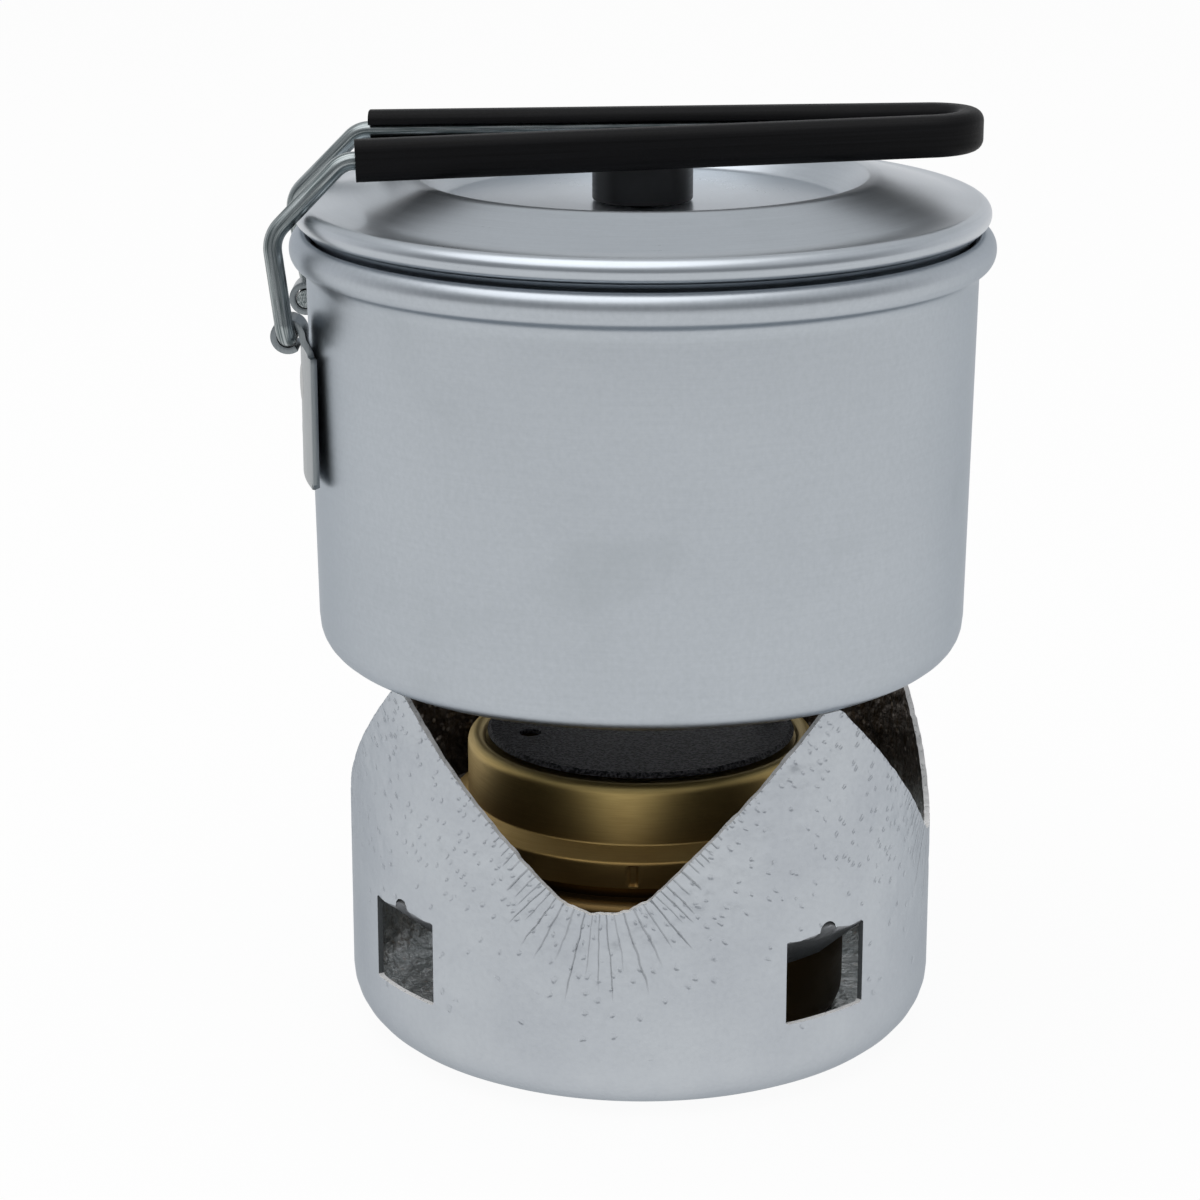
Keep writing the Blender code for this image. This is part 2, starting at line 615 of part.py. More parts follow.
def make_grip():
    """A split sleeve pushed over the loop, with its slot facing the inside of the loop."""
    tall, wide = SLEEVE_HEIGHT / 2, SLEEVE_WIDTH / 2
    edge, slot = SLEEVE_EDGE, SLEEVE_SLOT / 2
    channel = WIRE_RADIUS + BORE_PLAY
    lip = degrees(asin(slot / channel))
    section = [(wide, slot), (wide, tall - edge), (wide - edge, tall), (edge - wide, tall)]
    section += [(-wide, tall - edge), (-wide, edge - tall), (edge - wide, -tall), (wide - edge, -tall)]
    section += [(wide, edge - tall), (wide, -slot)]
    section += arc((0.0, 0.0), channel, channel, -lip, lip - 360, CHANNEL_STEPS)
    shape = bpy.data.curves.new("sleeve_section", "CURVE")
    shape.dimensions = "2D"
    outline = shape.splines.new("POLY")
    outline.points.add(len(section) - 1)
    for point, (across, up) in zip(outline.points, section):
        point.co = (-across, up, 0.0, 1.0)
    outline.use_cyclic_u = True
    guide = as_cutter(place("sleeve_section", shape, None, cutters))
    route = [loop_point(SLEEVE_START)]
    grip = tube("handle_grip", route + nose_points() + mirrored(route), "black_sleeve")
    grip.data.twist_mode = "Z_UP"
    grip.data.bevel_mode = "OBJECT"
    grip.data.bevel_object = guide
    return grip


# Lid, knob and its fixings
def make_lid():
    """A lid with a rolled edge, a skirt inside the pot, a raised crest and a sunken middle."""
    sheet = LID_SHEET
    hole = SCREW_RADIUS + BORE_PLAY
    edge = (LID_RIM_RADIUS - LID_BEAD, LID_EDGE_HEIGHT)
    skirt = POT_MOUTH_RADIUS - POT_SHEET - LID_SKIRT_PLAY
    floor, crest = LID_WELL_FLOOR, LID_CREST_HEIGHT
    crest_at, well_at = LID_CREST_RADIUS, LID_WELL_RADIUS
    shoulder = (edge[0] - LID_BEAD, edge[1] + LID_BEAD)
    slope = (shoulder[1] - crest) / (shoulder[0] - crest_at)
    outer_crest = crest_at + LID_CREST_FLAT
    profile = [(hole, floor), (well_at - sheet, floor), (well_at, floor + sheet / 2)]
    profile += [(crest_at - sheet, crest - sheet / 2), (crest_at, crest)]
    profile += [(outer_crest, crest + slope * sheet), shoulder]
    profile += arc(edge, LID_BEAD, LID_BEAD, 90, -75, BEAD_STEPS)
    profile += [(edge[0], LID_SEAT), (skirt, LID_SEAT), (skirt, LID_SEAT - LID_SKIRT_DEPTH)]
    profile += [(skirt - sheet, LID_SEAT - LID_SKIRT_DEPTH), (skirt - sheet, shoulder[1] - sheet)]
    profile += [(outer_crest, crest + slope * sheet - sheet), (crest_at, crest - sheet)]
    profile += [(well_at + sheet, floor - sheet / 2), (well_at, floor - sheet), (hole, floor - sheet)]
    return turned("lid", profile, "spun_aluminium", ring=True)


def make_knob():
    """The knob, its threaded insert, and the screw and washer that hold it from below."""
    foot = LID_WELL_FLOOR + GAP
    top = foot + KNOB_HEIGHT
    bore = INSERT_RADIUS + GAP
    roof = foot + INSERT_LENGTH + GAP
    profile = [(0.0, top)] + arc((KNOB_RADIUS - KNOB_EDGE, top - KNOB_EDGE), KNOB_EDGE, KNOB_EDGE, 90, 0, 3)
    profile += [(KNOB_RADIUS, foot), (bore, foot), (bore, roof), (0.0, roof)]
    knob = turned("lid_knob", profile, "black_knob", KNOB_SIDES)
    thread = SCREW_RADIUS + BORE_PLAY
    deep = foot + SCREW_REACH + GAP
    profile = [(0.0, foot + INSERT_LENGTH), (INSERT_RADIUS, foot + INSERT_LENGTH), (INSERT_RADIUS, foot)]
    profile += [(thread, foot), (thread, deep), (0.0, deep)]
    insert = turned("knob_insert", profile, "satin_brass", SMALL_SIDES)
    under = LID_WELL_FLOOR - LID_SHEET - GAP
    rest = under - WASHER_THICKNESS
    profile = [(WASHER_RADIUS, under), (WASHER_RADIUS, rest), (thread, rest), (thread, under)]
    washer = turned("knob_washer", profile, "steel_hardware", SMALL_SIDES, ring=True)
    head = rest - GAP
    base = head - SCREW_HEAD_HEIGHT
    profile = [(0.0, foot + SCREW_REACH), (SCREW_RADIUS, foot + SCREW_REACH), (SCREW_RADIUS, head)]
    profile += [(SCREW_HEAD_RADIUS, head), (SCREW_HEAD_RADIUS, base + SCREW_HEAD_EDGE)]
    profile += [(SCREW_HEAD_RADIUS - SCREW_HEAD_EDGE, base), (0.0, base)]
    screw = turned("knob_screw", profile, "steel_hardware", SMALL_SIDES)
    reach, half = SCREW_HEAD_RADIUS + CUT_PAST, SCREW_SLOT_WIDTH / 2
    slot = block("screw_slot", (-reach, -half, base - CUT_PAST), (reach, half, base + SCREW_SLOT_DEPTH))
    boolean(screw, slot)
    return [knob, insert, washer, screw]


# Spirit burner
def make_tank():
    """The fuel tank: a drawn cup whose edge is turned in over the crown's flange."""
    sheet = BRASS_SHEET
    corner = (TANK_RADIUS - TANK_CORNER, TANK_FOOT + TANK_CORNER)
    turn = (TANK_RADIUS - TANK_SHOULDER, TANK_TOP - TANK_SHOULDER)
    lip = TANK_LIP_RADIUS
    profile = [(0.0, TANK_FOOT + sheet)]
    profile += arc(corner, TANK_CORNER - sheet, TANK_CORNER - sheet, -90, 0, CORNER_STEPS - 1)
    profile += arc(turn, TANK_SHOULDER - sheet, TANK_SHOULDER - sheet, 0, 90, CORNER_STEPS - 1)
    profile += [(lip, TANK_TOP - sheet), (lip, TANK_TOP)]
    profile += arc(turn, TANK_SHOULDER, TANK_SHOULDER, 90, 0, CORNER_STEPS - 1)
    profile += arc(corner, TANK_CORNER, TANK_CORNER, 0, -90, CORNER_STEPS - 1)
    profile += [(0.0, TANK_FOOT)]
    return turned("burner_tank", profile, "satin_brass", BURNER_SIDES)


def step_line(radius):
    """Height of the underside of the simmer ring's step at a radius."""
    outer = RING_SKIRT_RADIUS - RING_SHEET
    inner = RING_BARREL_RADIUS - RING_SHEET
    return STEP_FOOT + RING_STEP_RISE * (outer - radius) / (outer - inner)


def step_clearance():
    """Upright clearance that leaves the usual gap across the sloping step."""
    return GAP * sqrt(1.0 + (RING_STEP_RISE / (RING_SKIRT_RADIUS - RING_BARREL_RADIUS)) ** 2)


CROWN_SHELF = step_line(RING_BARREL_RADIUS - RING_SHEET) - step_clearance()
CROWN_TOP = CROWN_SHELF + JET_WALL_HEIGHT + CROWN_EDGE


def make_crown():
    """The burner's upper pressing: flange, threaded collar, sloping shoulder and a wall with jets."""
    sheet = BRASS_SHEET
    flange = TANK_RADIUS - TANK_SHOULDER
    foot = CROWN_FLANGE_TOP - sheet
    collar = COLLAR_RADIUS
    shoulder = step_line(collar) - step_clearance()
    shelf, shelf_edge = CROWN_SHELF, RING_BARREL_RADIUS - RING_SHEET - 2 * GAP
    wall = JET_WALL_RADIUS
    skirt = WELL_RADIUS + GAP
    bend = (wall - CROWN_EDGE, CROWN_TOP - CROWN_EDGE)
    profile = arc(bend, CROWN_EDGE, CROWN_EDGE, 180, 0, CORNER_STEPS)
    profile += [(wall, shelf), (shelf_edge, shelf), (collar, shoulder)]
    thread_top = shoulder - THREAD_PITCH / 2
    for turn in range(THREAD_TURNS):
        peak = thread_top - THREAD_PITCH * turn
        profile += [(collar - THREAD_HEIGHT, peak), (collar, peak - THREAD_PITCH / 2)]
    profile += [(collar - THREAD_HEIGHT, thread_top - THREAD_PITCH * THREAD_TURNS)]
    profile += [(collar - THREAD_HEIGHT, CROWN_FLANGE_TOP), (flange, CROWN_FLANGE_TOP), (flange, foot)]
    inside = collar - THREAD_HEIGHT - sheet
    profile += [(inside, foot), (inside, shoulder - sheet)]
    profile += [(shelf_edge, shelf - sheet), (wall - sheet, shelf - sheet)]
    profile += arc(bend, CROWN_EDGE - sheet, CROWN_EDGE - sheet, 0, 180, 2)
    profile += [(skirt + sheet, CROWN_TOP - CROWN_SKIRT), (skirt, CROWN_TOP - CROWN_SKIRT)]
    crown = turned("burner_crown", profile, "satin_brass", BURNER_SIDES, ring=True)
    half_step = 180.0 / JET_COUNT
    height = (shelf + CROWN_TOP - CROWN_EDGE) / 2
    jets = [(polar(wall, b, height), polar(1.0, b)) for b in ring_of(JET_COUNT, half_step)]
    boolean(crown, pins("jet_cutter", jets, JET_RADIUS, 3 * sheet, JET_SIDES))
    return crown


def make_inner_cup():
    """The open well in the middle, hung from the crown by its rolled edge, with feed holes at its foot."""
    sheet = BRASS_SHEET
    foot = TANK_FOOT + sheet + GAP
    seat = CROWN_TOP + GAP
    inside = WELL_RADIUS - sheet
    reach = WELL_RADIUS + CUP_FLANGE
    profile = [(inside, seat + sheet), (reach, seat + sheet), (reach, seat), (WELL_RADIUS, seat)]
    profile += [(WELL_RADIUS, foot), (inside, foot)]
    cup = turned("burner_inner_cup", profile, "satin_brass", BURNER_SIDES, ring=True)
    height = foot + FEED_HEIGHT
    feeds = [(polar(WELL_RADIUS, b, height), polar(1.0, b)) for b in ring_of(FEED_COUNT, 180.0 / FEED_COUNT)]
    boolean(cup, pins("feed_cutter", feeds, FEED_RADIUS, 5 * sheet))
    return cup


def make_wick():
    """A cotton sleeve round the inner cup, standing on the tank's floor."""
    foot = TANK_FOOT + BRASS_SHEET + GAP
    inside = WELL_RADIUS + GAP
    outside = COLLAR_RADIUS - THREAD_HEIGHT - BRASS_SHEET - WICK_PLAY
    top = foot + WICK_HEIGHT
    profile = [(outside, top), (outside, foot), (inside, foot), (inside, top)]
    return turned("burner_wick", profile, "cotton_wick", BURNER_SIDES, ring=True)


# Simmer ring and shutter
def make_simmer_ring():
    """A stepped pressing that sits on the collar's shoulder, with a beaded top and an open middle."""
    sheet = RING_SHEET
    skirt, barrel = RING_SKIRT_RADIUS, RING_BARREL_RADIUS
    bead = (barrel - RING_BEAD, RING_CREST - RING_BEAD)
    inner_bead = RING_BEAD - sheet
    flange = RING_FLANGE_TOP
    dip = barrel - 2 * RING_BEAD + sheet / 4
    profile = [(RING_MOUTH_RADIUS, flange), (dip - sheet / 2, flange)]
    profile += arc(bead, RING_BEAD, RING_BEAD, 140, 0, BEAD_STEPS - 1)
    profile += [(barrel, STEP_TOP), (skirt, STEP_FOOT), (skirt, SKIRT_EDGE), (skirt - sheet, SKIRT_EDGE)]
    profile += [(skirt - sheet, STEP_FOOT), (barrel - sheet, STEP_TOP)]
    profile += arc(bead, inner_bead, inner_bead, 0, 90, 2)
    profile += [(dip - sheet / 2, flange - sheet), (RING_MOUTH_RADIUS, flange - sheet)]
    ring = turned("simmer_ring", profile, "satin_brass", BURNER_SIDES, ring=True)
    upright = (0.0, 0.0, 1.0)
    bearings = ring_of(DIMPLE_COUNT, DIMPLE_BEARING)
    middle = SKIRT_EDGE + RING_SKIRT_HEIGHT / 2
    bump_at = skirt - sheet - DIMPLE_DEPTH + DIMPLE_RADIUS
    bumps = [(polar(bump_at, b, middle), upright) for b in bearings]
    boolean(ring, pins("dimple_bumps", bumps, DIMPLE_RADIUS, DIMPLE_HEIGHT), "UNION")
    groove_at = skirt - DIMPLE_DEPTH + DIMPLE_RADIUS
    grooves = [(polar(groove_at, b, middle), upright) for b in bearings]
    boolean(ring, pins("dimple_grooves", grooves, DIMPLE_RADIUS, DIMPLE_HEIGHT))
    rivet = [(polar(SHUTTER_PIVOT, SHUTTER_BEARING, flange), upright)]
    bore = PIVOT_RIVET_RADIUS + BORE_PLAY
    boolean(ring, pins("ring_rivet_hole", rivet, bore, 2 * CUT_PAST, RIVET_SIDES))
    return ring


def make_shutter():
    """A coated disc that swings over the ring's mouth on a rivet, with a small hole to push it by."""
    low, high = SHUTTER_UNDERSIDE, SHUTTER_UNDERSIDE + SHUTTER_SHEET
    profile = [(0.0, high), (SHUTTER_RADIUS - SHUTTER_BEVEL, high), (SHUTTER_RADIUS, low), (0.0, low)]
    shutter = turned("simmer_shutter", profile, "black_coat", BURNER_SIDES)
    upright = (0.0, 0.0, 1.0)
    pivot = [(polar(SHUTTER_PIVOT, SHUTTER_BEARING, low), upright)]
    bore = PIVOT_RIVET_RADIUS + BORE_PLAY
    boolean(shutter, pins("shutter_pivot_hole", pivot, bore, 2 * CUT_PAST, RIVET_SIDES))
    pull = [(polar(SHUTTER_RADIUS - PULL_HOLE_INSET, SHUTTER_BEARING + 180.0, low), upright)]
    boolean(shutter, pins("pull_hole", pull, PULL_HOLE_RADIUS, 2 * CUT_PAST, RIVET_SIDES))
    return shutter


def make_shutter_pivot():
    """The rivet that the shutter swings on, and the washer that carries the shutter over the flange."""
    head = SHUTTER_UNDERSIDE + SHUTTER_SHEET + GAP
    tail = RING_FLANGE_TOP - RING_SHEET - GAP
    shank = PIVOT_RIVET_RADIUS
    profile = dome(head, PIVOT_RIVET_HEAD, PIVOT_RIVET_DOME)
    profile += [(shank, head), (shank, tail), (PIVOT_RIVET_HEAD, tail)]
    profile += [(PIVOT_RIVET_HEAD, tail - PIVOT_RIVET_DOME), (0.0, tail - PIVOT_RIVET_DOME)]
    rivet = turned("shutter_rivet", profile, "steel_hardware", RIVET_SIDES)
    under, top = RING_FLANGE_TOP + GAP, SHUTTER_UNDERSIDE - GAP
    bore = shank + BORE_PLAY
    profile = [(PIVOT_WASHER_RADIUS, top), (PIVOT_WASHER_RADIUS, under), (bore, under), (bore, top)]
    washer = turned("shutter_washer", profile, "steel_hardware", RIVET_SIDES, ring=True)
    for piece in (rivet, washer):
        piece.location = polar(SHUTTER_PIVOT, SHUTTER_BEARING)
    return rivet, washer


def axis_empty(name, location, parent=None):
    """An empty on a joint's axis, which carries the pieces that move there."""
    empty = bpy.data.objects.new(name, None)
    empty.empty_display_size = AXIS_MARK
    parts.objects.link(empty)
    empty.location = location
    if parent:
        carry(parent, [empty])
    bpy.context.view_layer.update()
    return empty


def carry(empty, pieces):
    """Parents pieces to an empty without moving them."""
    bpy.context.view_layer.update()
    for piece in pieces:
        piece.parent = empty
        piece.matrix_parent_inverse = empty.matrix_world.inverted()


def build():
    """Makes every piece and hangs each moving group on its joint's axis."""
    make_windshield()
    pot_axis = axis_empty("pot_axis", (0.0, 0.0, POT_FLOOR))
    carry(pot_axis, [make_pot(), make_bracket()] + make_bracket_rivets())
    handle_axis = axis_empty("handle_axis", (-PIVOT_OUT, 0.0, PIVOT_Z), pot_axis)
    carry(handle_axis, [make_wire(), make_grip()])
    lid_axis = axis_empty("lid_axis", (0.0, 0.0, LID_SEAT), pot_axis)
    carry(lid_axis, [make_lid()] + make_knob())
    burner_axis = axis_empty("burner_axis", (0.0, 0.0, TANK_FOOT))
    carry(burner_axis, [make_tank(), make_crown(), make_inner_cup(), make_wick()])
    ring_axis = axis_empty("ring_axis", (0.0, 0.0, SKIRT_EDGE), burner_axis)
    rivet, washer = make_shutter_pivot()
    carry(ring_axis, [make_simmer_ring(), rivet, washer])
    hinge = polar(SHUTTER_PIVOT, SHUTTER_BEARING, SHUTTER_UNDERSIDE)
    carry(axis_empty("shutter_axis", hinge, ring_axis), [make_shutter()])


build()
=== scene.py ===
"""Looks of the storm cooker, built round its CAD model. Metres, +Z up, in the model's frame.

A bearing is an angle round the upright axis in degrees: 0 faces -Y, and it grows towards +X.
"""
from math import asin, cos, degrees, hypot, pi, radians, sin, sqrt, tan

import bpy
import numpy as np
from mathutils import Matrix, Vector
from mathutils.kdtree import KDTree


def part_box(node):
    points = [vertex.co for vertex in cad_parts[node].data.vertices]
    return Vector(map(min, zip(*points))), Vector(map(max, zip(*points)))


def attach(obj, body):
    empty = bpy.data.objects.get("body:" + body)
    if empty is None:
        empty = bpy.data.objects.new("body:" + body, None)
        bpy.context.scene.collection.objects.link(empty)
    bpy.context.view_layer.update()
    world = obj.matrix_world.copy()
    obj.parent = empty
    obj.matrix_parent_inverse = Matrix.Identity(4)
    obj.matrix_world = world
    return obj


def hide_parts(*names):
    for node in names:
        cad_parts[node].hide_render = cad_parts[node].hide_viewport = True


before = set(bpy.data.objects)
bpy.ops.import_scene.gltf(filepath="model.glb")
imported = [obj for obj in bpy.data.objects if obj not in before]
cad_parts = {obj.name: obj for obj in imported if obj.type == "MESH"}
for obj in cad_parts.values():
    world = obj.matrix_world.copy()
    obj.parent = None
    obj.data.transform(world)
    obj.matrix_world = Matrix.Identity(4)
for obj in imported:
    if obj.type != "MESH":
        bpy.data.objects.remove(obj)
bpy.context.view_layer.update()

# Fineness of the meshes
TIDY = 0.00001                # vertices closer than this are one
SPECK = 0.001                 # size of the plane that a line starts from
SIDES = 256                   # facets round the pot, lid and burner
SMALL_SIDES = 64
RING_SIDES = 640              # fine enough for the simmer ring's dimples
EDGE_STEPS = 6                # facets round a rounded edge
BEAD_STEPS = 24               # facets round a rolled edge
SOFT_ANGLE = 35.0             # edges flatter than this are shaded smooth
GAP = 0.0003
MM = 0.001

# Windshield, deep drawn from one sheet
WIND_SHEET = 0.0010
WIND_CORNER = 0.0100
ARM_COUNT = 4
ARM_BEARING = 37.8
ARM_TIP_WIDTH = 0.0040
NOTCH_APEX = 0.0325           # where the two straight sides of a notch would meet
NOTCH_FILLET = 0.0134
WINDOW_WIDTH = 0.0173
WINDOW_SILL = 0.0151
WINDOW_HEAD = 0.0307
TAB_LENGTH = 0.0149
TAB_TILT = 50.0
TAB_SIDE_GAP = 0.0004
TAB_BEND = 0.0008             # outside radius where the tab leaves the wall
RELIEF_RADIUS = 0.0018        # half-round hole in the middle of the tab's bend
RELIEF_FOOT = -0.6            # below 0, the tab rises into the hole by this share of its radius
WIND_COLUMNS = 600
HALF_WINDOW_COLUMNS = 15
COLUMN_CROWDING = 0.5         # draws the columns towards the middle of a notch
CORNER_ROWS = 8
LOW_ROWS = 4                  # from the corner up to the sill
WINDOW_ROWS = 18
ARM_ROWS = 42                 # from the head up to the notch's edge
FLOOR_RING = 0.0200
EDGE_ROUGHNESS = 0.00012      # of the sheared edge
CREASE_GAP = 0.00150          # between creases, along the notch's edge
CREASE_FADE = 0.0145          # how far from the notch's middle they stay long
CREASE_WIDTH = 0.00046
CREASE_DEPTH = 0.00007
CREASE_LENGTH = 0.0170
CREASE_LEAST = 0.0004         # their length far from the middle
CREASE_MEAN = 0.82            # their own strength, and how much it varies
CREASE_VARIES = 0.18
CREASE_TURN = 2.4             # sets each crease's own strength, from its number
CREASE_STRIDE = 40            # between the numbers of two notches' creases
DENTS = 240                   # round each notch

# Pot and lid
POT_SHEET = 0.0010
POT_WALL_HEIGHT = 0.0668
POT_FLARE = 0.0011
POT_CORNER = 0.0057
POT_RIM_OVERHANG = 0.0029
POT_BEAD_WIDTH = 0.0022       # half of the rolled bead's width
POT_BEAD_HEIGHT = 0.0029      # half of its height
LID_SHEET = 0.0010
LID_RIM_INSET = 0.0010
LID_BEAD = 0.0021
LID_SEAT_STEP = 0.0008
LID_SKIRT_DEPTH = 0.0070
LID_SKIRT_PLAY = 0.0008
LID_CREST_RADIUS = 0.0393
LID_CREST_RISE = 0.0042
LID_CREST_FLAT = 0.0020
LID_WELL_SLOPE = 0.0033
LID_WELL_DEPTH = 0.0050
LID_HOLE = 0.0023
KNOB_RADIUS = 0.0088
KNOB_HEIGHT = 0.0108
KNOB_EDGE = 0.0012
INSERT_RADIUS = 0.0032
INSERT_LENGTH = 0.0064
SCREW_RADIUS = 0.0020
SCREW_REACH = 0.0048
SCREW_HEAD_RADIUS = 0.0037
SCREW_HEAD_HEIGHT = 0.0020
SCREW_SLOT_WIDTH = 0.0009
SCREW_SLOT_DEPTH = 0.0010
WASHER_RADIUS = 0.0060
WASHER_THICKNESS = 0.0008

# Folding handle and its bracket
WIRE_RADIUS = 0.0016
PIVOT_DROP = 0.0073
LEG_TURN = 0.0022
WIRE_STUB = 0.0004
KNEE_OUT = 0.0025
KNEE_RISE = 0.0172
ELBOW_IN = 0.0098
HANDLE_OVER_LID = 0.0009
LOOP_TILT = 0.0031
LOOP_REACH = 0.1169
NOSE_RADIUS = 0.0074
KNEE_RADIUS = 0.0055
ELBOW_RADIUS = 0.0048
KNOB_SIDE_GAP = 0.0009
SLEEVE_START = 0.0119
SLEEVE_HEIGHT = 0.0072
SLEEVE_WIDTH = 0.0052
SLEEVE_SLOT = 0.0024
SLEEVE_EDGE = 0.0020
SLEEVE_BORE = 0.0019
BEND_STEPS = 12               # points along a bend of the wire
NOSE_STEPS = 48
WIRE_FACETS = 6
BRACKET_SHEET = 0.0011
BRACKET_SLACK = 0.0112
BRACKET_HALF = 0.0220
BRACKET_DROP = 0.0265
BRACKET_TOP = 0.0035
KNUCKLE_IN = 0.0130
KNUCKLE_OUT = 0.0199
KNUCKLE_BORE = 0.0019
BRACKET_EDGE = 0.0010
PLATE_ROWS = 24
NECK_ROWS = 5
ROLL_ROWS = 30
ROLL_SWEEP = 305.0            # how far the sheet is rolled round the wire, in degrees
RIVET_RADIUS = 0.0018
RIVET_HEAD_RADIUS = 0.0034
RIVET_HEAD_HEIGHT = 0.0002
RIVET_TAIL_HEIGHT = 0.0009
RIVET_SIDE = 0.0110
RIVET_UPPER_DROP = 0.0100
RIVET_LOWER_DROP = 0.0200

# Spirit burner and simmer ring
BRASS_SHEET = 0.0008
TANK_CORNER = 0.0050
TANK_SHOULDER = 0.0022
COLLAR_RADIUS = 0.0334
THREAD_HEIGHT = 0.0005
THREAD_PITCH = 0.0020
THREAD_TURNS = 2
JET_WALL_RADIUS = 0.0290
JET_COUNT = 24
JET_RADIUS = 0.0006
CROWN_EDGE = 0.0016
CROWN_SKIRT = 0.0050
WELL_RADIUS = 0.0255
CUP_FLANGE = 0.0018
FEED_COUNT = 6
FEED_RADIUS = 0.0018
FEED_HEIGHT = 0.0040
RING_SHEET = 0.0008
RING_SKIRT_HEIGHT = 0.0046
RING_STEP_RISE = 0.0022
RING_BARREL_RADIUS = 0.0315
RING_BEAD = 0.0017
RING_FLANGE_DROP = 0.0011
RING_MOUTH_RADIUS = 0.0150
DIMPLE_COUNT = 8
DIMPLE_BEARING = -2.0
DIMPLE_HALF = 0.0008
DIMPLE_DEPTH = 0.0006
DIMPLE_HEIGHT = 0.0038
SKIRT_ROWS = 12
SHUTTER_RADIUS = 0.0280
SHUTTER_SHEET = 0.0008
SHUTTER_BEVEL = 0.0008
SHUTTER_PIVOT = 0.0240
SHUTTER_BEARING = 105.4
PULL_HOLE_RADIUS = 0.0020
PULL_HOLE_OUT = 0.0207
PIVOT_RIVET_RADIUS = 0.0016
PIVOT_RIVET_HEAD = 0.0029
PIVOT_RIVET_DOME = 0.0010
PIVOT_WASHER_RADIUS = 0.0033

# Camera and light
CAMERA_PLACE = (0.0002, -0.5936, 0.2530)
CAMERA_TURN = (90.0 - 16.45, 0.0, 0.736)
CAMERA_LENS = 102.92
FLOOR_SIZE = 9.0
SURROUND_LEVEL = 0.68         # of the light that falls on the cooker from all round
SHADOW_SHARE = 0.07           # of the floor's own shading that the camera sees
LAMP_PLACE = (-0.25, -0.30, 1.25)
LAMP_SIZE = 1.6
LAMP_POWER = 7.0
LAMP_AIM = 0.09               # height that it faces
FLAG_DISTANCE = 1.6
FLAG_ANGLES = range(2, 63, 3)

# Read from the frame
WIND_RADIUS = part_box("windshield")[1].x
WIND_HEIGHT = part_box("windshield")[1].z
POT_FLOOR, POT_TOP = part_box("pot")[0].z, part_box("pot")[1].z
TANK_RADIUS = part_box("burner_tank")[1].x
TANK_FOOT, TANK_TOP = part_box("burner_tank")[0].z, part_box("burner_tank")[1].z
RING_SKIRT_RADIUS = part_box("simmer_ring")[1].x
SKIRT_EDGE, RING_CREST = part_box("simmer_ring")[0].z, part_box("simmer_ring")[1].z
CROWN_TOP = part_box("burner_crown")[1].z

# Follow from the ones above
POT_NECK = POT_FLOOR + POT_WALL_HEIGHT
POT_MOUTH_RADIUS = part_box("pot")[1].x - POT_RIM_OVERHANG
POT_BASE_RADIUS = POT_MOUTH_RADIUS - POT_FLARE
LID_SEAT = POT_TOP + GAP
LID_EDGE_HEIGHT = LID_SEAT + LID_SEAT_STEP + LID_BEAD
LID_CREST_HEIGHT = LID_EDGE_HEIGHT + LID_BEAD + LID_CREST_RISE
LID_WELL_FLOOR = LID_CREST_HEIGHT - LID_WELL_DEPTH
PIVOT_Z = POT_NECK - PIVOT_DROP
LEG_SPREAD = KNUCKLE_OUT + LEG_TURN + GAP
KNUCKLE_ROLL = KNUCKLE_BORE + BRACKET_SHEET
BRACKET_BEND = POT_MOUTH_RADIUS + BRACKET_SLACK
ELBOW_Z = LID_CREST_HEIGHT + HANDLE_OVER_LID + SLEEVE_HEIGHT / 2
STEP_FOOT = SKIRT_EDGE + RING_SKIRT_HEIGHT
STEP_TOP = STEP_FOOT + RING_STEP_RISE
RING_FLANGE_TOP = RING_CREST - RING_FLANGE_DROP
SHUTTER_UNDERSIDE = RING_CREST + GAP


def pot_radius(height):
    """Outside radius of the pot's wall, which opens slightly upwards."""
    return POT_BASE_RADIUS + POT_FLARE * (height - POT_FLOOR) / POT_WALL_HEIGHT


PIVOT_OUT = sqrt(pot_radius(PIVOT_Z) ** 2 - KNUCKLE_IN ** 2) + GAP + KNUCKLE_ROLL


def polar(radius, bearing, height=0.0):
    """A point at a bearing in degrees from the upright axis."""
    return Vector((radius * sin(radians(bearing)), -radius * cos(radians(bearing)), height))


def arc(centre, half_width, half_height, start, end, steps):
    """Points on an ellipse in the (radius, height) plane, angles in degrees from outwards towards up."""
    angles = [radians(start + (end - start) * i / steps) for i in range(steps + 1)]
    return [(centre[0] + half_width * cos(a), centre[1] + half_height * sin(a)) for a in angles]


def ring_of(count, first=0.0):
    """Bearings spread evenly round the axis."""
    return [first + 360.0 * i / count for i in range(count)]


# Modelling by hand
def pick(*pieces):
    """Makes these the only selected objects, with the first one active."""
    bpy.ops.object.select_all(action="DESELECT")
    for piece in pieces:
        piece.select_set(True)
    bpy.context.view_layer.objects.active = pieces[0]


def edit(piece, select="SELECT"):
    """Opens a piece in edit mode with all or nothing of it selected."""
    pick(piece)
    bpy.ops.object.mode_set(mode="EDIT")
    bpy.ops.mesh.select_all(action=select)


def leave():
    bpy.ops.object.mode_set(mode="OBJECT")
    bpy.context.tool_settings.mesh_select_mode = (True, False, False)


def edit_points(piece, chosen):
    """Opens a piece in edit mode with the vertices of a mask selected."""
    edit(piece, "DESELECT")
    leave()
    piece.data.vertices.foreach_set("select", chosen)
    bpy.ops.object.mode_set(mode="EDIT")


def edit_faces(piece, chosen):
    """Opens a piece in edit mode with the faces of a mask selected."""
    edit(piece, "DESELECT")
    leave()
    bpy.context.tool_settings.mesh_select_mode = (False, False, True)
    piece.data.polygons.foreach_set("select", chosen)
    bpy.ops.object.mode_set(mode="EDIT")


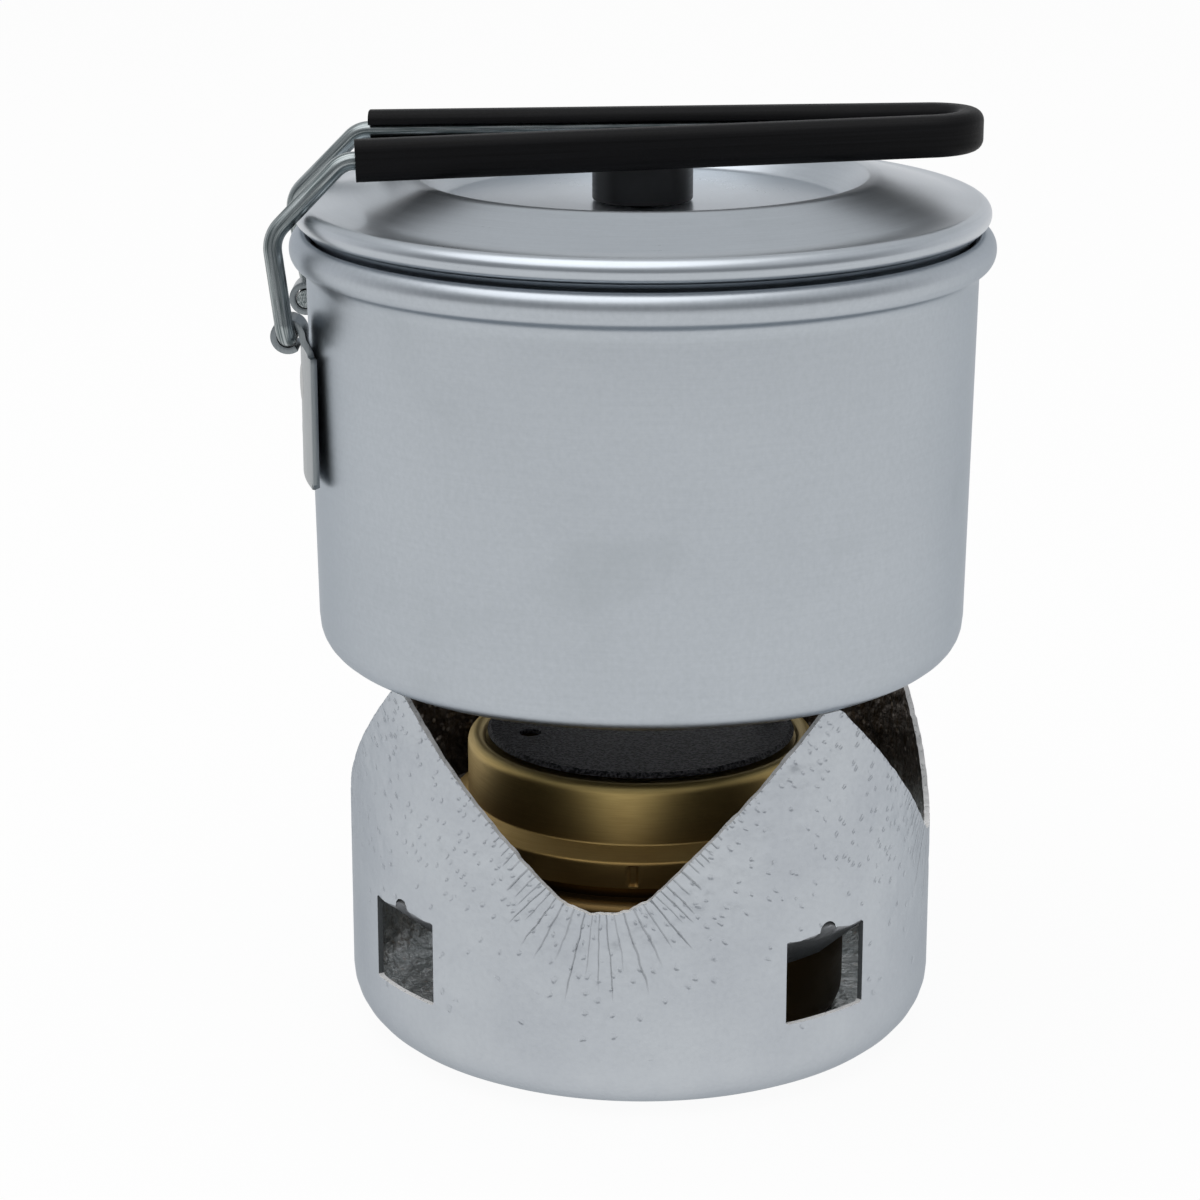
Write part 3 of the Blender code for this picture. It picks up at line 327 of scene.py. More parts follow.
def draw(name, points):
    """A line through points, drawn by extruding one vertex from point to point."""
    bpy.ops.object.select_all(action="DESELECT")
    bpy.ops.mesh.primitive_plane_add(size=SPECK)
    piece = bpy.context.active_object
    piece.name = piece.data.name = name
    bpy.ops.object.mode_set(mode="EDIT")
    bpy.ops.mesh.merge(type="CENTER")
    bpy.ops.transform.translate(value=points[0])
    for here, there in zip(points, points[1:]):
        step = Vector(there) - Vector(here)
        bpy.ops.mesh.extrude_vertices_move(TRANSFORM_OT_translate={"value": step})
    leave()
    return piece


def lathe(name, profile, sides=SIDES, ring=False, bearing=90.0):
    """A turned piece: (radius, height) points spun once round the upright axis."""
    points = [polar(r, bearing, z) for r, z in profile]
    piece = draw(name, points + points[:1] if ring else points)
    edit(piece)
    bpy.ops.mesh.remove_doubles(threshold=TIDY)
    bpy.ops.mesh.spin(steps=sides, angle=2 * pi, center=(0, 0, 0), axis=(0, 0, 1))
    bpy.ops.mesh.select_all(action="SELECT")
    bpy.ops.mesh.remove_doubles(threshold=TIDY)
    bpy.ops.mesh.normals_make_consistent(inside=False)
    leave()
    return piece


def modify(piece, kind, **settings):
    """Adds a modifier with its settings and applies it."""
    pick(piece)
    step = piece.modifiers.new(kind.lower(), kind)
    for name, value in settings.items():
        setattr(step, name, value)
    bpy.ops.object.modifier_apply(modifier=step.name)
    return piece


def drill(piece, places, radius, depth, sides=SMALL_SIDES):
    """Bores round holes at (centre, direction) places."""
    bits = []
    for centre, direction in places:
        turn = Vector(direction).to_track_quat("Z", "Y").to_euler()
        bpy.ops.mesh.primitive_cylinder_add(
            vertices=sides, radius=radius, depth=depth, location=centre, rotation=turn)
        bits.append(bpy.context.active_object)
    pick(*bits)
    if len(bits) > 1:
        bpy.ops.object.join()
    bit = bpy.context.active_object
    modify(piece, "BOOLEAN", operation="DIFFERENCE", solver="EXACT", object=bit)
    bpy.data.objects.remove(bit, do_unlink=True)
    return piece


def settle(piece, location, direction=(0, 0, 1)):
    """Turns a piece made round the upright axis to a direction, moves it to its place and applies both."""
    turn = Vector(direction).to_track_quat("Z", "Y").to_matrix().to_4x4()
    piece.matrix_world = Matrix.Translation(location) @ turn
    pick(piece)
    bpy.ops.object.transform_apply(location=True, rotation=True, scale=True)
    return piece


def places_of(piece):
    """The piece's vertices as an array of rows x, y, z."""
    spots = np.empty(len(piece.data.vertices) * 3)
    piece.data.vertices.foreach_get("co", spots)
    return spots.reshape(-1, 3)


def put_back(piece, spots):
    """Moves the piece's vertices to the rows of an array."""
    piece.data.vertices.foreach_set("co", spots.ravel())
    piece.data.update()


def store(piece, name, kind, domain, values):
    """Keeps a value for each vertex or face corner as an attribute, which a material can read."""
    layer = piece.data.attributes.new(name, kind, domain)
    key = "vector" if kind == "FLOAT_VECTOR" else "value"
    layer.data.foreach_set(key, np.asarray(values, dtype=np.float32).ravel())


# Materials
def paint(code):
    """Linear colour of an sRGB hex value."""
    values = [int(code[i:i + 2], 16) / 255 for i in (1, 3, 5)]
    return (*[v / 12.92 if v <= 0.04045 else ((v + 0.055) / 1.055) ** 2.4 for v in values], 1.0)


def add(tree, kind, settings=(), inputs=()):
    """A new node. Its inputs, by name or number, are values, or sockets that are linked."""
    node = tree.nodes.new(kind)
    for name, value in dict(settings).items():
        setattr(node, name, value)
    for name, value in dict(inputs).items():
        if isinstance(value, bpy.types.NodeSocket):
            tree.links.new(value, node.inputs[name])
        else:
            node.inputs[name].default_value = value
    return node


def start(name, colour, metallic, roughness, **others):
    """A material with the plain values of its shader: (material, its tree, its shader)."""
    look = bpy.data.materials.new(name)
    look.use_nodes = True
    shader = look.node_tree.nodes["Principled BSDF"]
    values = {"Base Color": paint(colour), "Metallic": metallic, "Roughness": roughness, **others}
    for socket, value in values.items():
        shader.inputs[socket].default_value = value
    return look, look.node_tree, shader


def turning(tree, pitch, drift, detail=3.0):
    """Marks that run round the upright axis, as a lathe leaves them: a pitch apart, fading in and out."""
    spot = add(tree, "ShaderNodeTexCoord").outputs["Object"]
    flat = add(tree, "ShaderNodeVectorMath", {"operation": "MULTIPLY"}, {0: spot, 1: (1, 1, 0)}).outputs[0]
    radius = add(tree, "ShaderNodeVectorMath", {"operation": "LENGTH"}, {0: flat}).outputs["Value"]
    facing = add(tree, "ShaderNodeVectorMath", {"operation": "NORMALIZE"}, {0: flat}).outputs[0]
    facing = add(tree, "ShaderNodeSeparateXYZ", inputs={0: facing})
    height = add(tree, "ShaderNodeSeparateXYZ", inputs={0: spot}).outputs["Z"]
    rows = add(tree, "ShaderNodeCombineXYZ", inputs={0: radius, 1: height}).outputs[0]
    rows = add(tree, "ShaderNodeVectorMath", {"operation": "SCALE"}, {
        0: rows, "Scale": 1 / pitch}).outputs[0]
    side = add(tree, "ShaderNodeMath", {"operation": "MULTIPLY"}, {
        0: facing.outputs["X"], 1: drift}).outputs[0]
    front = add(tree, "ShaderNodeMath", {"operation": "MULTIPLY"}, {
        0: facing.outputs["Y"], 1: drift}).outputs[0]
    side = add(tree, "ShaderNodeCombineXYZ", inputs={2: side}).outputs[0]
    rows = add(tree, "ShaderNodeVectorMath", {"operation": "ADD"}, {0: rows, 1: side}).outputs[0]
    return add(tree, "ShaderNodeTexNoise", {"noise_dimensions": "4D"},
               {"Vector": rows, "W": front, "Scale": 1.0, "Detail": detail, "Roughness": 0.6}).outputs[0]


def make_spun_aluminium(name, smoothest, roughest, marked, edge):
    """Aluminium spun on a lathe, satin: fine marks round it over soft stains. Edge tints it aslant."""
    look, tree, shader = start(name, "#B4BAC0", 1.0, roughest, Anisotropic=0.3)
    shader.inputs["Specular Tint"].default_value = paint(edge)
    tangent = add(tree, "ShaderNodeTangent", {"direction_type": "RADIAL", "axis": "Z"}).outputs[0]
    tree.links.new(tangent, shader.inputs["Tangent"])
    spot = add(tree, "ShaderNodeTexCoord").outputs["Object"]
    # Turning marks are about 0.1 mm apart on the real one, drawn at 0.4 mm so that they show
    marks = turning(tree, 0.4 * MM, 4.0)
    clouds = add(tree, "ShaderNodeTexNoise", inputs={
        "Vector": spot, "Scale": 1 / (24 * MM), "Detail": 3.0, "Roughness": 0.5}).outputs[0]
    grain = add(tree, "ShaderNodeTexNoise", inputs={
        "Vector": spot, "Scale": 1 / (0.9 * MM), "Detail": 3.0, "Roughness": 0.6}).outputs[0]
    # A few small dark specks, about 0.4 mm across
    specks = add(tree, "ShaderNodeTexVoronoi", {"feature": "F1"}, {
        "Vector": spot, "Scale": 1 / (6 * MM)}).outputs["Distance"]
    speck = add(tree, "ShaderNodeMapRange", inputs={
        "Value": specks, "From Min": 0.04, "From Max": 0.07, "To Min": 1.0, "To Max": 0.0}).outputs[0]
    stained = add(tree, "ShaderNodeMapRange", inputs={
        "Value": clouds, "From Min": 0.60, "From Max": 0.78, "To Min": 0.0, "To Max": 0.35}).outputs[0]
    mixed = add(tree, "ShaderNodeMix", inputs={0: marked, 2: grain, 3: marks}).outputs[0]
    tone = add(tree, "ShaderNodeValToRGB", inputs={0: mixed})
    tone.color_ramp.elements[0].position, tone.color_ramp.elements[0].color = 0.30, paint("#AFB5BB")
    tone.color_ramp.elements[1].position, tone.color_ramp.elements[1].color = 0.70, paint("#BAC0C6")
    cloudy = add(tree, "ShaderNodeMix", {"data_type": "RGBA"}, {
        0: stained, 6: tone.outputs[0], 7: paint("#A3AAAE")}).outputs[2]
    rare = add(tree, "ShaderNodeMath", {"operation": "MULTIPLY"}, {0: speck, 1: stained}).outputs[0]
    colour = add(tree, "ShaderNodeMix", {"data_type": "RGBA"}, {
        0: rare, 6: cloudy, 7: paint("#5C6060")}).outputs[2]
    tree.links.new(colour, shader.inputs["Base Color"])
    rough = add(tree, "ShaderNodeMath", {"operation": "ADD"}, {0: mixed, 1: clouds}).outputs[0]
    rough = add(tree, "ShaderNodeMapRange", inputs={
        "Value": rough, "From Min": 0.7, "From Max": 1.3,
        "To Min": smoothest, "To Max": roughest}).outputs[0]
    tree.links.new(rough, shader.inputs["Roughness"])
    bump = add(tree, "ShaderNodeBump", inputs={
        "Height": mixed, "Strength": 0.1, "Distance": 0.02 * MM}).outputs[0]
    tree.links.new(bump, shader.inputs["Normal"])
    return look


def make_drawn_aluminium():
    """Aluminium sheet deep drawn cold, satin: pitted near the notches, with painted shade in its creases and
    pits and on the bent tabs.
    """
    look, tree, shader = start("drawn_aluminium_satin", "#BBC0C6", 1.0, 0.42)
    shader.inputs["Specular Tint"].default_value = paint("#C6CACE")
    spot = add(tree, "ShaderNodeTexCoord").outputs["Object"]
    rays = add(tree, "ShaderNodeAttribute", {"attribute_name": "rays"}).outputs["Vector"]
    folds = add(tree, "ShaderNodeAttribute", {"attribute_name": "folds"}).outputs["Vector"]
    strain = add(tree, "ShaderNodeAttribute", {"attribute_name": "strain"}).outputs["Fac"]
    tab_shade = add(tree, "ShaderNodeAttribute", {"attribute_name": "tab_shade"}).outputs["Fac"]
    # Creases are about 0.3 mm wide, and each has its own length and strength
    folds = add(tree, "ShaderNodeSeparateXYZ", inputs={0: folds})
    sway = add(tree, "ShaderNodeTexNoise", inputs={
        "Vector": spot, "Scale": 1 / (4 * MM), "Detail": 1.0}).outputs[0]
    place = add(tree, "ShaderNodeMath", {"operation": "MULTIPLY_ADD"}, {
        0: sway, 1: 0.35, 2: folds.outputs["X"]}).outputs[0]
    line = add(tree, "ShaderNodeMath", {"operation": "ROUND"}, {0: place}).outputs[0]
    off = add(tree, "ShaderNodeMath", {"operation": "SUBTRACT"}, {0: place, 1: line}).outputs[0]
    off = add(tree, "ShaderNodeMath", {"operation": "MULTIPLY"}, {0: off, 1: folds.outputs["Y"]}).outputs[0]
    off = add(tree, "ShaderNodeMath", {"operation": "ABSOLUTE"}, {0: off}).outputs[0]
    thin = add(tree, "ShaderNodeMapRange", {"interpolation_type": "SMOOTHSTEP"}, {
        "Value": off, "From Min": 0.02, "From Max": 0.21, "To Min": 1.0, "To Max": 0.0}).outputs[0]
    own = add(tree, "ShaderNodeMath", {"operation": "MULTIPLY"}, {0: line, 1: CREASE_TURN}).outputs[0]
    own = add(tree, "ShaderNodeMath", {"operation": "SINE"}, {0: own}).outputs[0]
    own = add(tree, "ShaderNodeMath", {"operation": "MULTIPLY_ADD"}, {
        0: own, 1: CREASE_VARIES, 2: CREASE_MEAN}).outputs[0]
    left = add(tree, "ShaderNodeMath", {"operation": "SUBTRACT"}, {0: own, 1: folds.outputs["Z"]}).outputs[0]
    left = add(tree, "ShaderNodeMapRange", inputs={
        "Value": left, "From Min": 0.0, "From Max": 0.18}).outputs[0]
    crease = add(tree, "ShaderNodeMath", {"operation": "MULTIPLY"}, {0: thin, 1: left}).outputs[0]
    crease = add(tree, "ShaderNodeMath", {"operation": "MULTIPLY"}, {0: crease, 1: own}).outputs[0]
    # Pits are dashes about 0.8 by 1.4 mm, stretched away from the notch
    cells = add(tree, "ShaderNodeVectorMath", {"operation": "MULTIPLY"}, {
        0: rays, 1: (1 / 1.5, 1 / 2.4, 1.0)}).outputs[0]
    wander = add(tree, "ShaderNodeTexNoise", inputs={
        "Vector": spot, "Scale": 1 / (1.6 * MM), "Detail": 1.0}).outputs[1]
    wander = add(tree, "ShaderNodeVectorMath", {"operation": "MULTIPLY_ADD"}, {
        0: wander, 1: (0.5, 0.5, 0.0), 2: cells}).outputs[0]
    voronoi = add(tree, "ShaderNodeTexVoronoi", {"feature": "F1", "voronoi_dimensions": "2D"}, {
        "Vector": wander, "Scale": 1.0})
    pit = add(tree, "ShaderNodeMapRange", {"interpolation_type": "SMOOTHSTEP"}, {
        "Value": voronoi.outputs["Distance"], "From Min": 0.05, "From Max": 0.32,
        "To Min": 1.0, "To Max": 0.0}).outputs[0]
    chosen = add(tree, "ShaderNodeSeparateXYZ", inputs={0: voronoi.outputs["Color"]}).outputs[0]
    chosen = add(tree, "ShaderNodeMath", {"operation": "LESS_THAN"}, {0: chosen, 1: strain}).outputs[0]
    pit = add(tree, "ShaderNodeMath", {"operation": "MULTIPLY"}, {0: pit, 1: chosen}).outputs[0]
    # Orange-peel grain of stretched sheet, about 0.6 mm across
    peel = add(tree, "ShaderNodeTexNoise", inputs={
        "Vector": spot, "Scale": 1 / (0.9 * MM), "Detail": 3.0, "Roughness": 0.55}).outputs[0]
    clouds = add(tree, "ShaderNodeTexNoise", inputs={
        "Vector": spot, "Scale": 1 / (14 * MM), "Detail": 3.0}).outputs[0]
    tone = add(tree, "ShaderNodeValToRGB", inputs={0: clouds})
    tone.color_ramp.elements[0].position, tone.color_ramp.elements[0].color = 0.30, paint("#B7BCC2")
    tone.color_ramp.elements[1].position, tone.color_ramp.elements[1].color = 0.72, paint("#BFC4C9")
    colour = tone.outputs[0]
    # Painted shade: the creases, the pits and the tabs bent inwards are coloured darker where shade falls
    for mark, share, shade_and_mottle in ((crease, 0.45, "#5E6164"), (pit, 0.08, "#7C8287"), (tab_shade, 0.8, "#77787A")):
        shown = add(tree, "ShaderNodeMath", {"operation": "MULTIPLY"}, {0: mark, 1: share}).outputs[0]
        colour = add(tree, "ShaderNodeMix", {"data_type": "RGBA"}, {
            0: shown, 6: colour, 7: paint(shade_and_mottle)}).outputs[2]
    tree.links.new(colour, shader.inputs["Base Color"])
    rough = add(tree, "ShaderNodeMapRange", inputs={
        "Value": peel, "From Min": 0.3, "From Max": 0.7, "To Min": 0.36, "To Max": 0.46}).outputs[0]
    tree.links.new(rough, shader.inputs["Roughness"])
    # Where the sheet was drawn most it is left hammered, in hollows about 2 mm across
    hammer = add(tree, "ShaderNodeTexNoise", inputs={
        "Vector": spot, "Scale": 1 / (2.4 * MM), "Detail": 2.0, "Roughness": 0.4}).outputs[0]
    hammer = add(tree, "ShaderNodeMath", {"operation": "MULTIPLY"}, {0: hammer, 1: strain}).outputs[0]
    relief = peel
    for mark, height in ((hammer, 6.0), (pit, -2.6), (crease, -1.8)):
        relief = add(tree, "ShaderNodeMath", {"operation": "MULTIPLY_ADD"}, {
            0: mark, 1: height, 2: relief}).outputs[0]
    bump = add(tree, "ShaderNodeBump", inputs={
        "Height": relief, "Strength": 0.8, "Distance": 0.07 * MM}).outputs[0]
    tree.links.new(bump, shader.inputs["Normal"])
    return look


def make_shaded_inside():
    """The windshield's inside: painted light low down, near white, and painted shade in brown above, where
    the pot closes it over; with bright specks.
    """
    look, tree, shader = start("drawn_aluminium_painted_light_and_shade", "#A5A6A4", 0.95, 0.42)
    spot = add(tree, "ShaderNodeTexCoord").outputs["Object"]
    place = add(tree, "ShaderNodeSeparateXYZ", inputs={0: spot})
    shade_and_mottle = add(tree, "ShaderNodeTexNoise", inputs={
        "Vector": spot, "Scale": 1 / (6 * MM), "Detail": 4.0, "Roughness": 0.6}).outputs[0]
    # Painted light: the lower wall is coloured near white to stand in for light coming in at the windows
    lighter_tone = add(tree, "ShaderNodeValToRGB", inputs={0: shade_and_mottle})
    lighter_tone.color_ramp.elements[0].position, lighter_tone.color_ramp.elements[0].color = 0.32, paint("#C4CACB")
    lighter_tone.color_ramp.elements[1].position, lighter_tone.color_ramp.elements[1].color = 0.68, paint("#F4F6F6")
    # Painted shade: the upper wall is coloured brown to stand in for the shade under the pot
    brown = add(tree, "ShaderNodeValToRGB", inputs={0: shade_and_mottle})
    brown.color_ramp.elements[0].position, brown.color_ramp.elements[0].color = 0.32, paint("#3F3831")
    brown.color_ramp.elements[1].position, brown.color_ramp.elements[1].color = 0.70, paint("#746C65")
    level = add(tree, "ShaderNodeMath", {"operation": "MULTIPLY_ADD"}, {
        0: shade_and_mottle, 1: 14 * MM, 2: place.outputs["Z"]}).outputs[0]
    # The painted shade reaches lower down on the left
    level = add(tree, "ShaderNodeMath", {"operation": "MULTIPLY_ADD"}, {
        0: place.outputs["X"], 1: -0.15, 2: level}).outputs[0]
    shaded_above = add(tree, "ShaderNodeMapRange", inputs={
        "Value": level, "From Min": 33 * MM, "From Max": 41 * MM}).outputs[0]
    tone = add(tree, "ShaderNodeMix", {"data_type": "RGBA"}, {
        0: shaded_above, 6: lighter_tone.outputs[0], 7: brown.outputs[0]}).outputs[2]
    specks = add(tree, "ShaderNodeTexVoronoi", {"feature": "F1"}, {
        "Vector": spot, "Scale": 1 / (2.2 * MM)}).outputs["Distance"]
    speck = add(tree, "ShaderNodeMapRange", inputs={
        "Value": specks, "From Min": 0.12, "From Max": 0.26, "To Min": 0.7, "To Max": 0.0}).outputs[0]
    specked = add(tree, "ShaderNodeMix", {"data_type": "RGBA"}, {
        0: speck, 6: tone, 7: paint("#CFC8C2")}).outputs[2]
    lumps = add(tree, "ShaderNodeTexNoise", inputs={
        "Vector": spot, "Scale": 1 / (2.6 * MM), "Detail": 3.0}).outputs[0]
    # Dark lines where the sheet's hammered hollows meet
    seam = add(tree, "ShaderNodeMath", {"operation": "SUBTRACT"}, {0: lumps, 1: 0.5}).outputs[0]
    seam = add(tree, "ShaderNodeMath", {"operation": "ABSOLUTE"}, {0: seam}).outputs[0]
    seam = add(tree, "ShaderNodeMapRange", inputs={
        "Value": seam, "From Min": 0.0, "From Max": 0.03, "To Min": 0.35, "To Max": 0.0}).outputs[0]
    colour = add(tree, "ShaderNodeMix", {"data_type": "RGBA"}, {
        0: seam, 6: specked, 7: paint("#4E5254")}).outputs[2]
    tree.links.new(colour, shader.inputs["Base Color"])
    bump = add(tree, "ShaderNodeBump", inputs={
        "Height": lumps, "Strength": 1.0, "Distance": 0.8 * MM}).outputs[0]
    tree.links.new(bump, shader.inputs["Normal"])
    return look


def make_sheared_edge():
    """The windshield's sheared edge: bare metal, with painted light where it lies level and painted shade
    where it stands upright and on the bent tabs.
    """
    look, tree, shader = start("sheared_aluminium_edge", "#E2E4E6", 0.2, 0.40)
    spot = add(tree, "ShaderNodeTexCoord").outputs["Object"]
    tab_shade = add(tree, "ShaderNodeAttribute", {"attribute_name": "tab_shade"}).outputs["Fac"]
    tears = add(tree, "ShaderNodeTexNoise", inputs={
        "Vector": spot, "Scale": 1 / (0.7 * MM), "Detail": 4.0, "Roughness": 0.7}).outputs[0]
    tone = add(tree, "ShaderNodeValToRGB", inputs={0: tears})
    tone.color_ramp.elements[0].position, tone.color_ramp.elements[0].color = 0.32, paint("#8A8F92")
    tone.color_ramp.elements[1].position, tone.color_ramp.elements[1].color = 0.42, paint("#FFFFFF")
    # Painted light and shade: edges that face up are coloured bright, upright edges dark
    facing = add(tree, "ShaderNodeTexCoord").outputs["Normal"]
    facing = add(tree, "ShaderNodeSeparateXYZ", inputs={0: facing}).outputs["Z"]
    level = add(tree, "ShaderNodeMapRange", inputs={
        "Value": facing, "From Min": 0.45, "From Max": 0.95}).outputs[0]
    top_lit = add(tree, "ShaderNodeMix", {"data_type": "RGBA"}, {
        0: level, 6: paint("#4E5254"), 7: tone.outputs[0]}).outputs[2]
    # Painted shade on the edges of the bent tabs
    colour = add(tree, "ShaderNodeMix", {"data_type": "RGBA"}, {
        0: tab_shade, 6: top_lit, 7: paint("#5E6062")}).outputs[2]
    tree.links.new(colour, shader.inputs["Base Color"])
    bump = add(tree, "ShaderNodeBump", inputs={
        "Height": tears, "Strength": 0.6, "Distance": 0.10 * MM}).outputs[0]
    tree.links.new(bump, shader.inputs["Normal"])
    return look


def make_galvanised_wire():
    """Steel wire, galvanised and then drawn straight: dull zinc with bright and dark streaks along it."""
    look, tree, shader = start("galvanised_steel_wire", "#9AA1A3", 1.0, 0.30)
    run = add(tree, "ShaderNodeAttribute", {"attribute_name": "run"}).outputs["Vector"]
    # Streaks about 0.3 mm wide and 15 mm long
    streaks = add(tree, "ShaderNodeVectorMath", {"operation": "MULTIPLY"}, {
        0: run, 1: (5.5, 5.5, 1 / (9 * MM))}).outputs[0]
    streak = add(tree, "ShaderNodeTexNoise", inputs={
        "Vector": streaks, "Scale": 1.0, "Detail": 3.0, "Roughness": 0.6}).outputs[0]
    tone = add(tree, "ShaderNodeValToRGB", inputs={0: streak})
    tone.color_ramp.elements[0].position, tone.color_ramp.elements[0].color = 0.36, paint("#5C6667")
    tone.color_ramp.elements[1].position, tone.color_ramp.elements[1].color = 0.64, paint("#A8AEAF")
    tree.links.new(tone.outputs[0], shader.inputs["Base Color"])
    rough = add(tree, "ShaderNodeMapRange", inputs={
        "Value": streak, "From Min": 0.3, "From Max": 0.7, "To Min": 0.36, "To Max": 0.22}).outputs[0]
    tree.links.new(rough, shader.inputs["Roughness"])
    bump = add(tree, "ShaderNodeBump", inputs={
        "Height": streak, "Strength": 0.5, "Distance": 0.05 * MM}).outputs[0]
    tree.links.new(bump, shader.inputs["Normal"])
    return look


def make_sleeve_rubber():
    """Extruded black rubber sleeve, matt: faint lines along it, and a few pale scuffs."""
    look, tree, shader = start("extruded_rubber_black", "#0C0C0D", 0.0, 0.50, IOR=1.2)
    run = add(tree, "ShaderNodeAttribute", {"attribute_name": "run"}).outputs["Vector"]
    spot = add(tree, "ShaderNodeTexCoord").outputs["Object"]
    lines = add(tree, "ShaderNodeVectorMath", {"operation": "MULTIPLY"}, {
        0: run, 1: (4.0, 4.0, 1 / (30 * MM))}).outputs[0]
    line = add(tree, "ShaderNodeTexNoise", inputs={
        "Vector": lines, "Scale": 1.0, "Detail": 4.0, "Roughness": 0.6}).outputs[0]
    grain = add(tree, "ShaderNodeTexNoise", inputs={
        "Vector": spot, "Scale": 1 / (0.25 * MM), "Detail": 3.0}).outputs[0]
    scuffs = add(tree, "ShaderNodeTexNoise", inputs={
        "Vector": spot, "Scale": 1 / (3.0 * MM), "Detail": 6.0, "Roughness": 0.75}).outputs[0]
    scuff = add(tree, "ShaderNodeMapRange", inputs={
        "Value": scuffs, "From Min": 0.66, "From Max": 0.76, "To Min": 0.0, "To Max": 0.5}).outputs[0]
    tone = add(tree, "ShaderNodeValToRGB", inputs={0: line})
    tone.color_ramp.elements[0].position, tone.color_ramp.elements[0].color = 0.30, paint("#080809")
    tone.color_ramp.elements[1].position, tone.color_ramp.elements[1].color = 0.70, paint("#121214")
    colour = add(tree, "ShaderNodeMix", {"data_type": "RGBA"}, {
        0: scuff, 6: tone.outputs[0], 7: paint("#38383B")}).outputs[2]
    tree.links.new(colour, shader.inputs["Base Color"])
    rough = add(tree, "ShaderNodeMapRange", inputs={
        "Value": grain, "From Min": 0.3, "From Max": 0.7, "To Min": 0.44, "To Max": 0.60}).outputs[0]
    tree.links.new(rough, shader.inputs["Roughness"])
    relief = add(tree, "ShaderNodeMath", {"operation": "MULTIPLY_ADD"}, {
        0: line, 1: 0.8, 2: grain}).outputs[0]
    bump = add(tree, "ShaderNodeBump", inputs={
        "Height": relief, "Strength": 0.5, "Distance": 0.04 * MM}).outputs[0]
    tree.links.new(bump, shader.inputs["Normal"])
    return look


def make_moulded_phenolic():
    """Knob of moulded black phenolic resin: even and slightly glossy, with fine swirl marks."""
    look, tree, shader = start("moulded_phenolic_black", "#101012", 0.0, 0.36, IOR=1.34)
    marks = turning(tree, 0.5 * MM, 2.0)
    spot = add(tree, "ShaderNodeTexCoord").outputs["Object"]
    cloud = add(tree, "ShaderNodeTexNoise", inputs={
        "Vector": spot, "Scale": 1 / (2.5 * MM), "Detail": 4.0}).outputs[0]
    tone = add(tree, "ShaderNodeValToRGB", inputs={0: cloud})
    tone.color_ramp.elements[0].position, tone.color_ramp.elements[0].color = 0.35, paint("#0C0C0E")
    tone.color_ramp.elements[1].position, tone.color_ramp.elements[1].color = 0.70, paint("#121214")
    tree.links.new(tone.outputs[0], shader.inputs["Base Color"])
    rough = add(tree, "ShaderNodeMapRange", inputs={
        "Value": marks, "From Min": 0.3, "From Max": 0.7, "To Min": 0.32, "To Max": 0.46}).outputs[0]
    tree.links.new(rough, shader.inputs["Roughness"])
    bump = add(tree, "ShaderNodeBump", inputs={
        "Height": marks, "Strength": 0.3, "Distance": 0.02 * MM}).outputs[0]
    tree.links.new(bump, shader.inputs["Normal"])
    return look


def make_satin_brass(name, low, high, shaded, lighter_tone):
    """Pressed and turned brass, satin, painted darker low down as shade, with fine marks round it."""
    look, tree, shader = start(name, lighter_tone, 1.0, 0.48, Anisotropic=0.25)
    tangent = add(tree, "ShaderNodeTangent", {"direction_type": "RADIAL", "axis": "Z"}).outputs[0]
    tree.links.new(tangent, shader.inputs["Tangent"])
    marks = turning(tree, 0.3 * MM, 5.0)
    spot = add(tree, "ShaderNodeTexCoord").outputs["Object"]
    height = add(tree, "ShaderNodeSeparateXYZ", inputs={0: spot}).outputs["Z"]
    shade_wobble = add(tree, "ShaderNodeTexNoise", inputs={
        "Vector": spot, "Scale": 1 / (9 * MM), "Detail": 3.0}).outputs[0]
    level = add(tree, "ShaderNodeMath", {"operation": "MULTIPLY_ADD"}, {
        0: shade_wobble, 1: 10 * MM, 2: height}).outputs[0]
    # Painted shade: the colour darkens towards the bottom, with a wavering edge
    above_shade = add(tree, "ShaderNodeMapRange", inputs={
        "Value": level, "From Min": low + 4 * MM, "From Max": high + 4 * MM}).outputs[0]
    tone = add(tree, "ShaderNodeMix", {"data_type": "RGBA"}, {
        0: above_shade, 6: paint(shaded), 7: paint(lighter_tone)}).outputs[2]
    faint = add(tree, "ShaderNodeMapRange", inputs={
        "Value": marks, "From Min": 0.3, "From Max": 0.7, "To Min": 0.0, "To Max": 0.18}).outputs[0]
    colour = add(tree, "ShaderNodeMix", {"data_type": "RGBA"}, {
        0: faint, 6: tone, 7: paint("#7A6236")}).outputs[2]
    tree.links.new(colour, shader.inputs["Base Color"])
    rough = add(tree, "ShaderNodeMapRange", inputs={
        "Value": marks, "From Min": 0.3, "From Max": 0.7, "To Min": 0.44, "To Max": 0.53}).outputs[0]
    tree.links.new(rough, shader.inputs["Roughness"])
    bump = add(tree, "ShaderNodeBump", inputs={
        "Height": marks, "Strength": 0.25, "Distance": 0.02 * MM}).outputs[0]
    tree.links.new(bump, shader.inputs["Normal"])
    return look


def make_black_coat():
    """Black baked enamel with a fine grit in it, 0.5 mm across, over sheet steel."""
    look, tree, shader = start("textured_enamel_black", "#202023", 0.0, 0.50, IOR=1.18)
    spot = add(tree, "ShaderNodeTexCoord").outputs["Object"]
    grit = add(tree, "ShaderNodeTexNoise", inputs={
        "Vector": spot, "Scale": 1 / (0.55 * MM), "Detail": 2.0, "Roughness": 0.6}).outputs[0]
    tone = add(tree, "ShaderNodeValToRGB", inputs={0: grit})
    tone.color_ramp.elements[0].position, tone.color_ramp.elements[0].color = 0.44, paint("#060607")
    tone.color_ramp.elements[1].position, tone.color_ramp.elements[1].color = 0.58, paint("#414145")
    tree.links.new(tone.outputs[0], shader.inputs["Base Color"])
    bump = add(tree, "ShaderNodeBump", inputs={
        "Height": grit, "Strength": 1.0, "Distance": 0.6 * MM}).outputs[0]
    tree.links.new(bump, shader.inputs["Normal"])
    return look


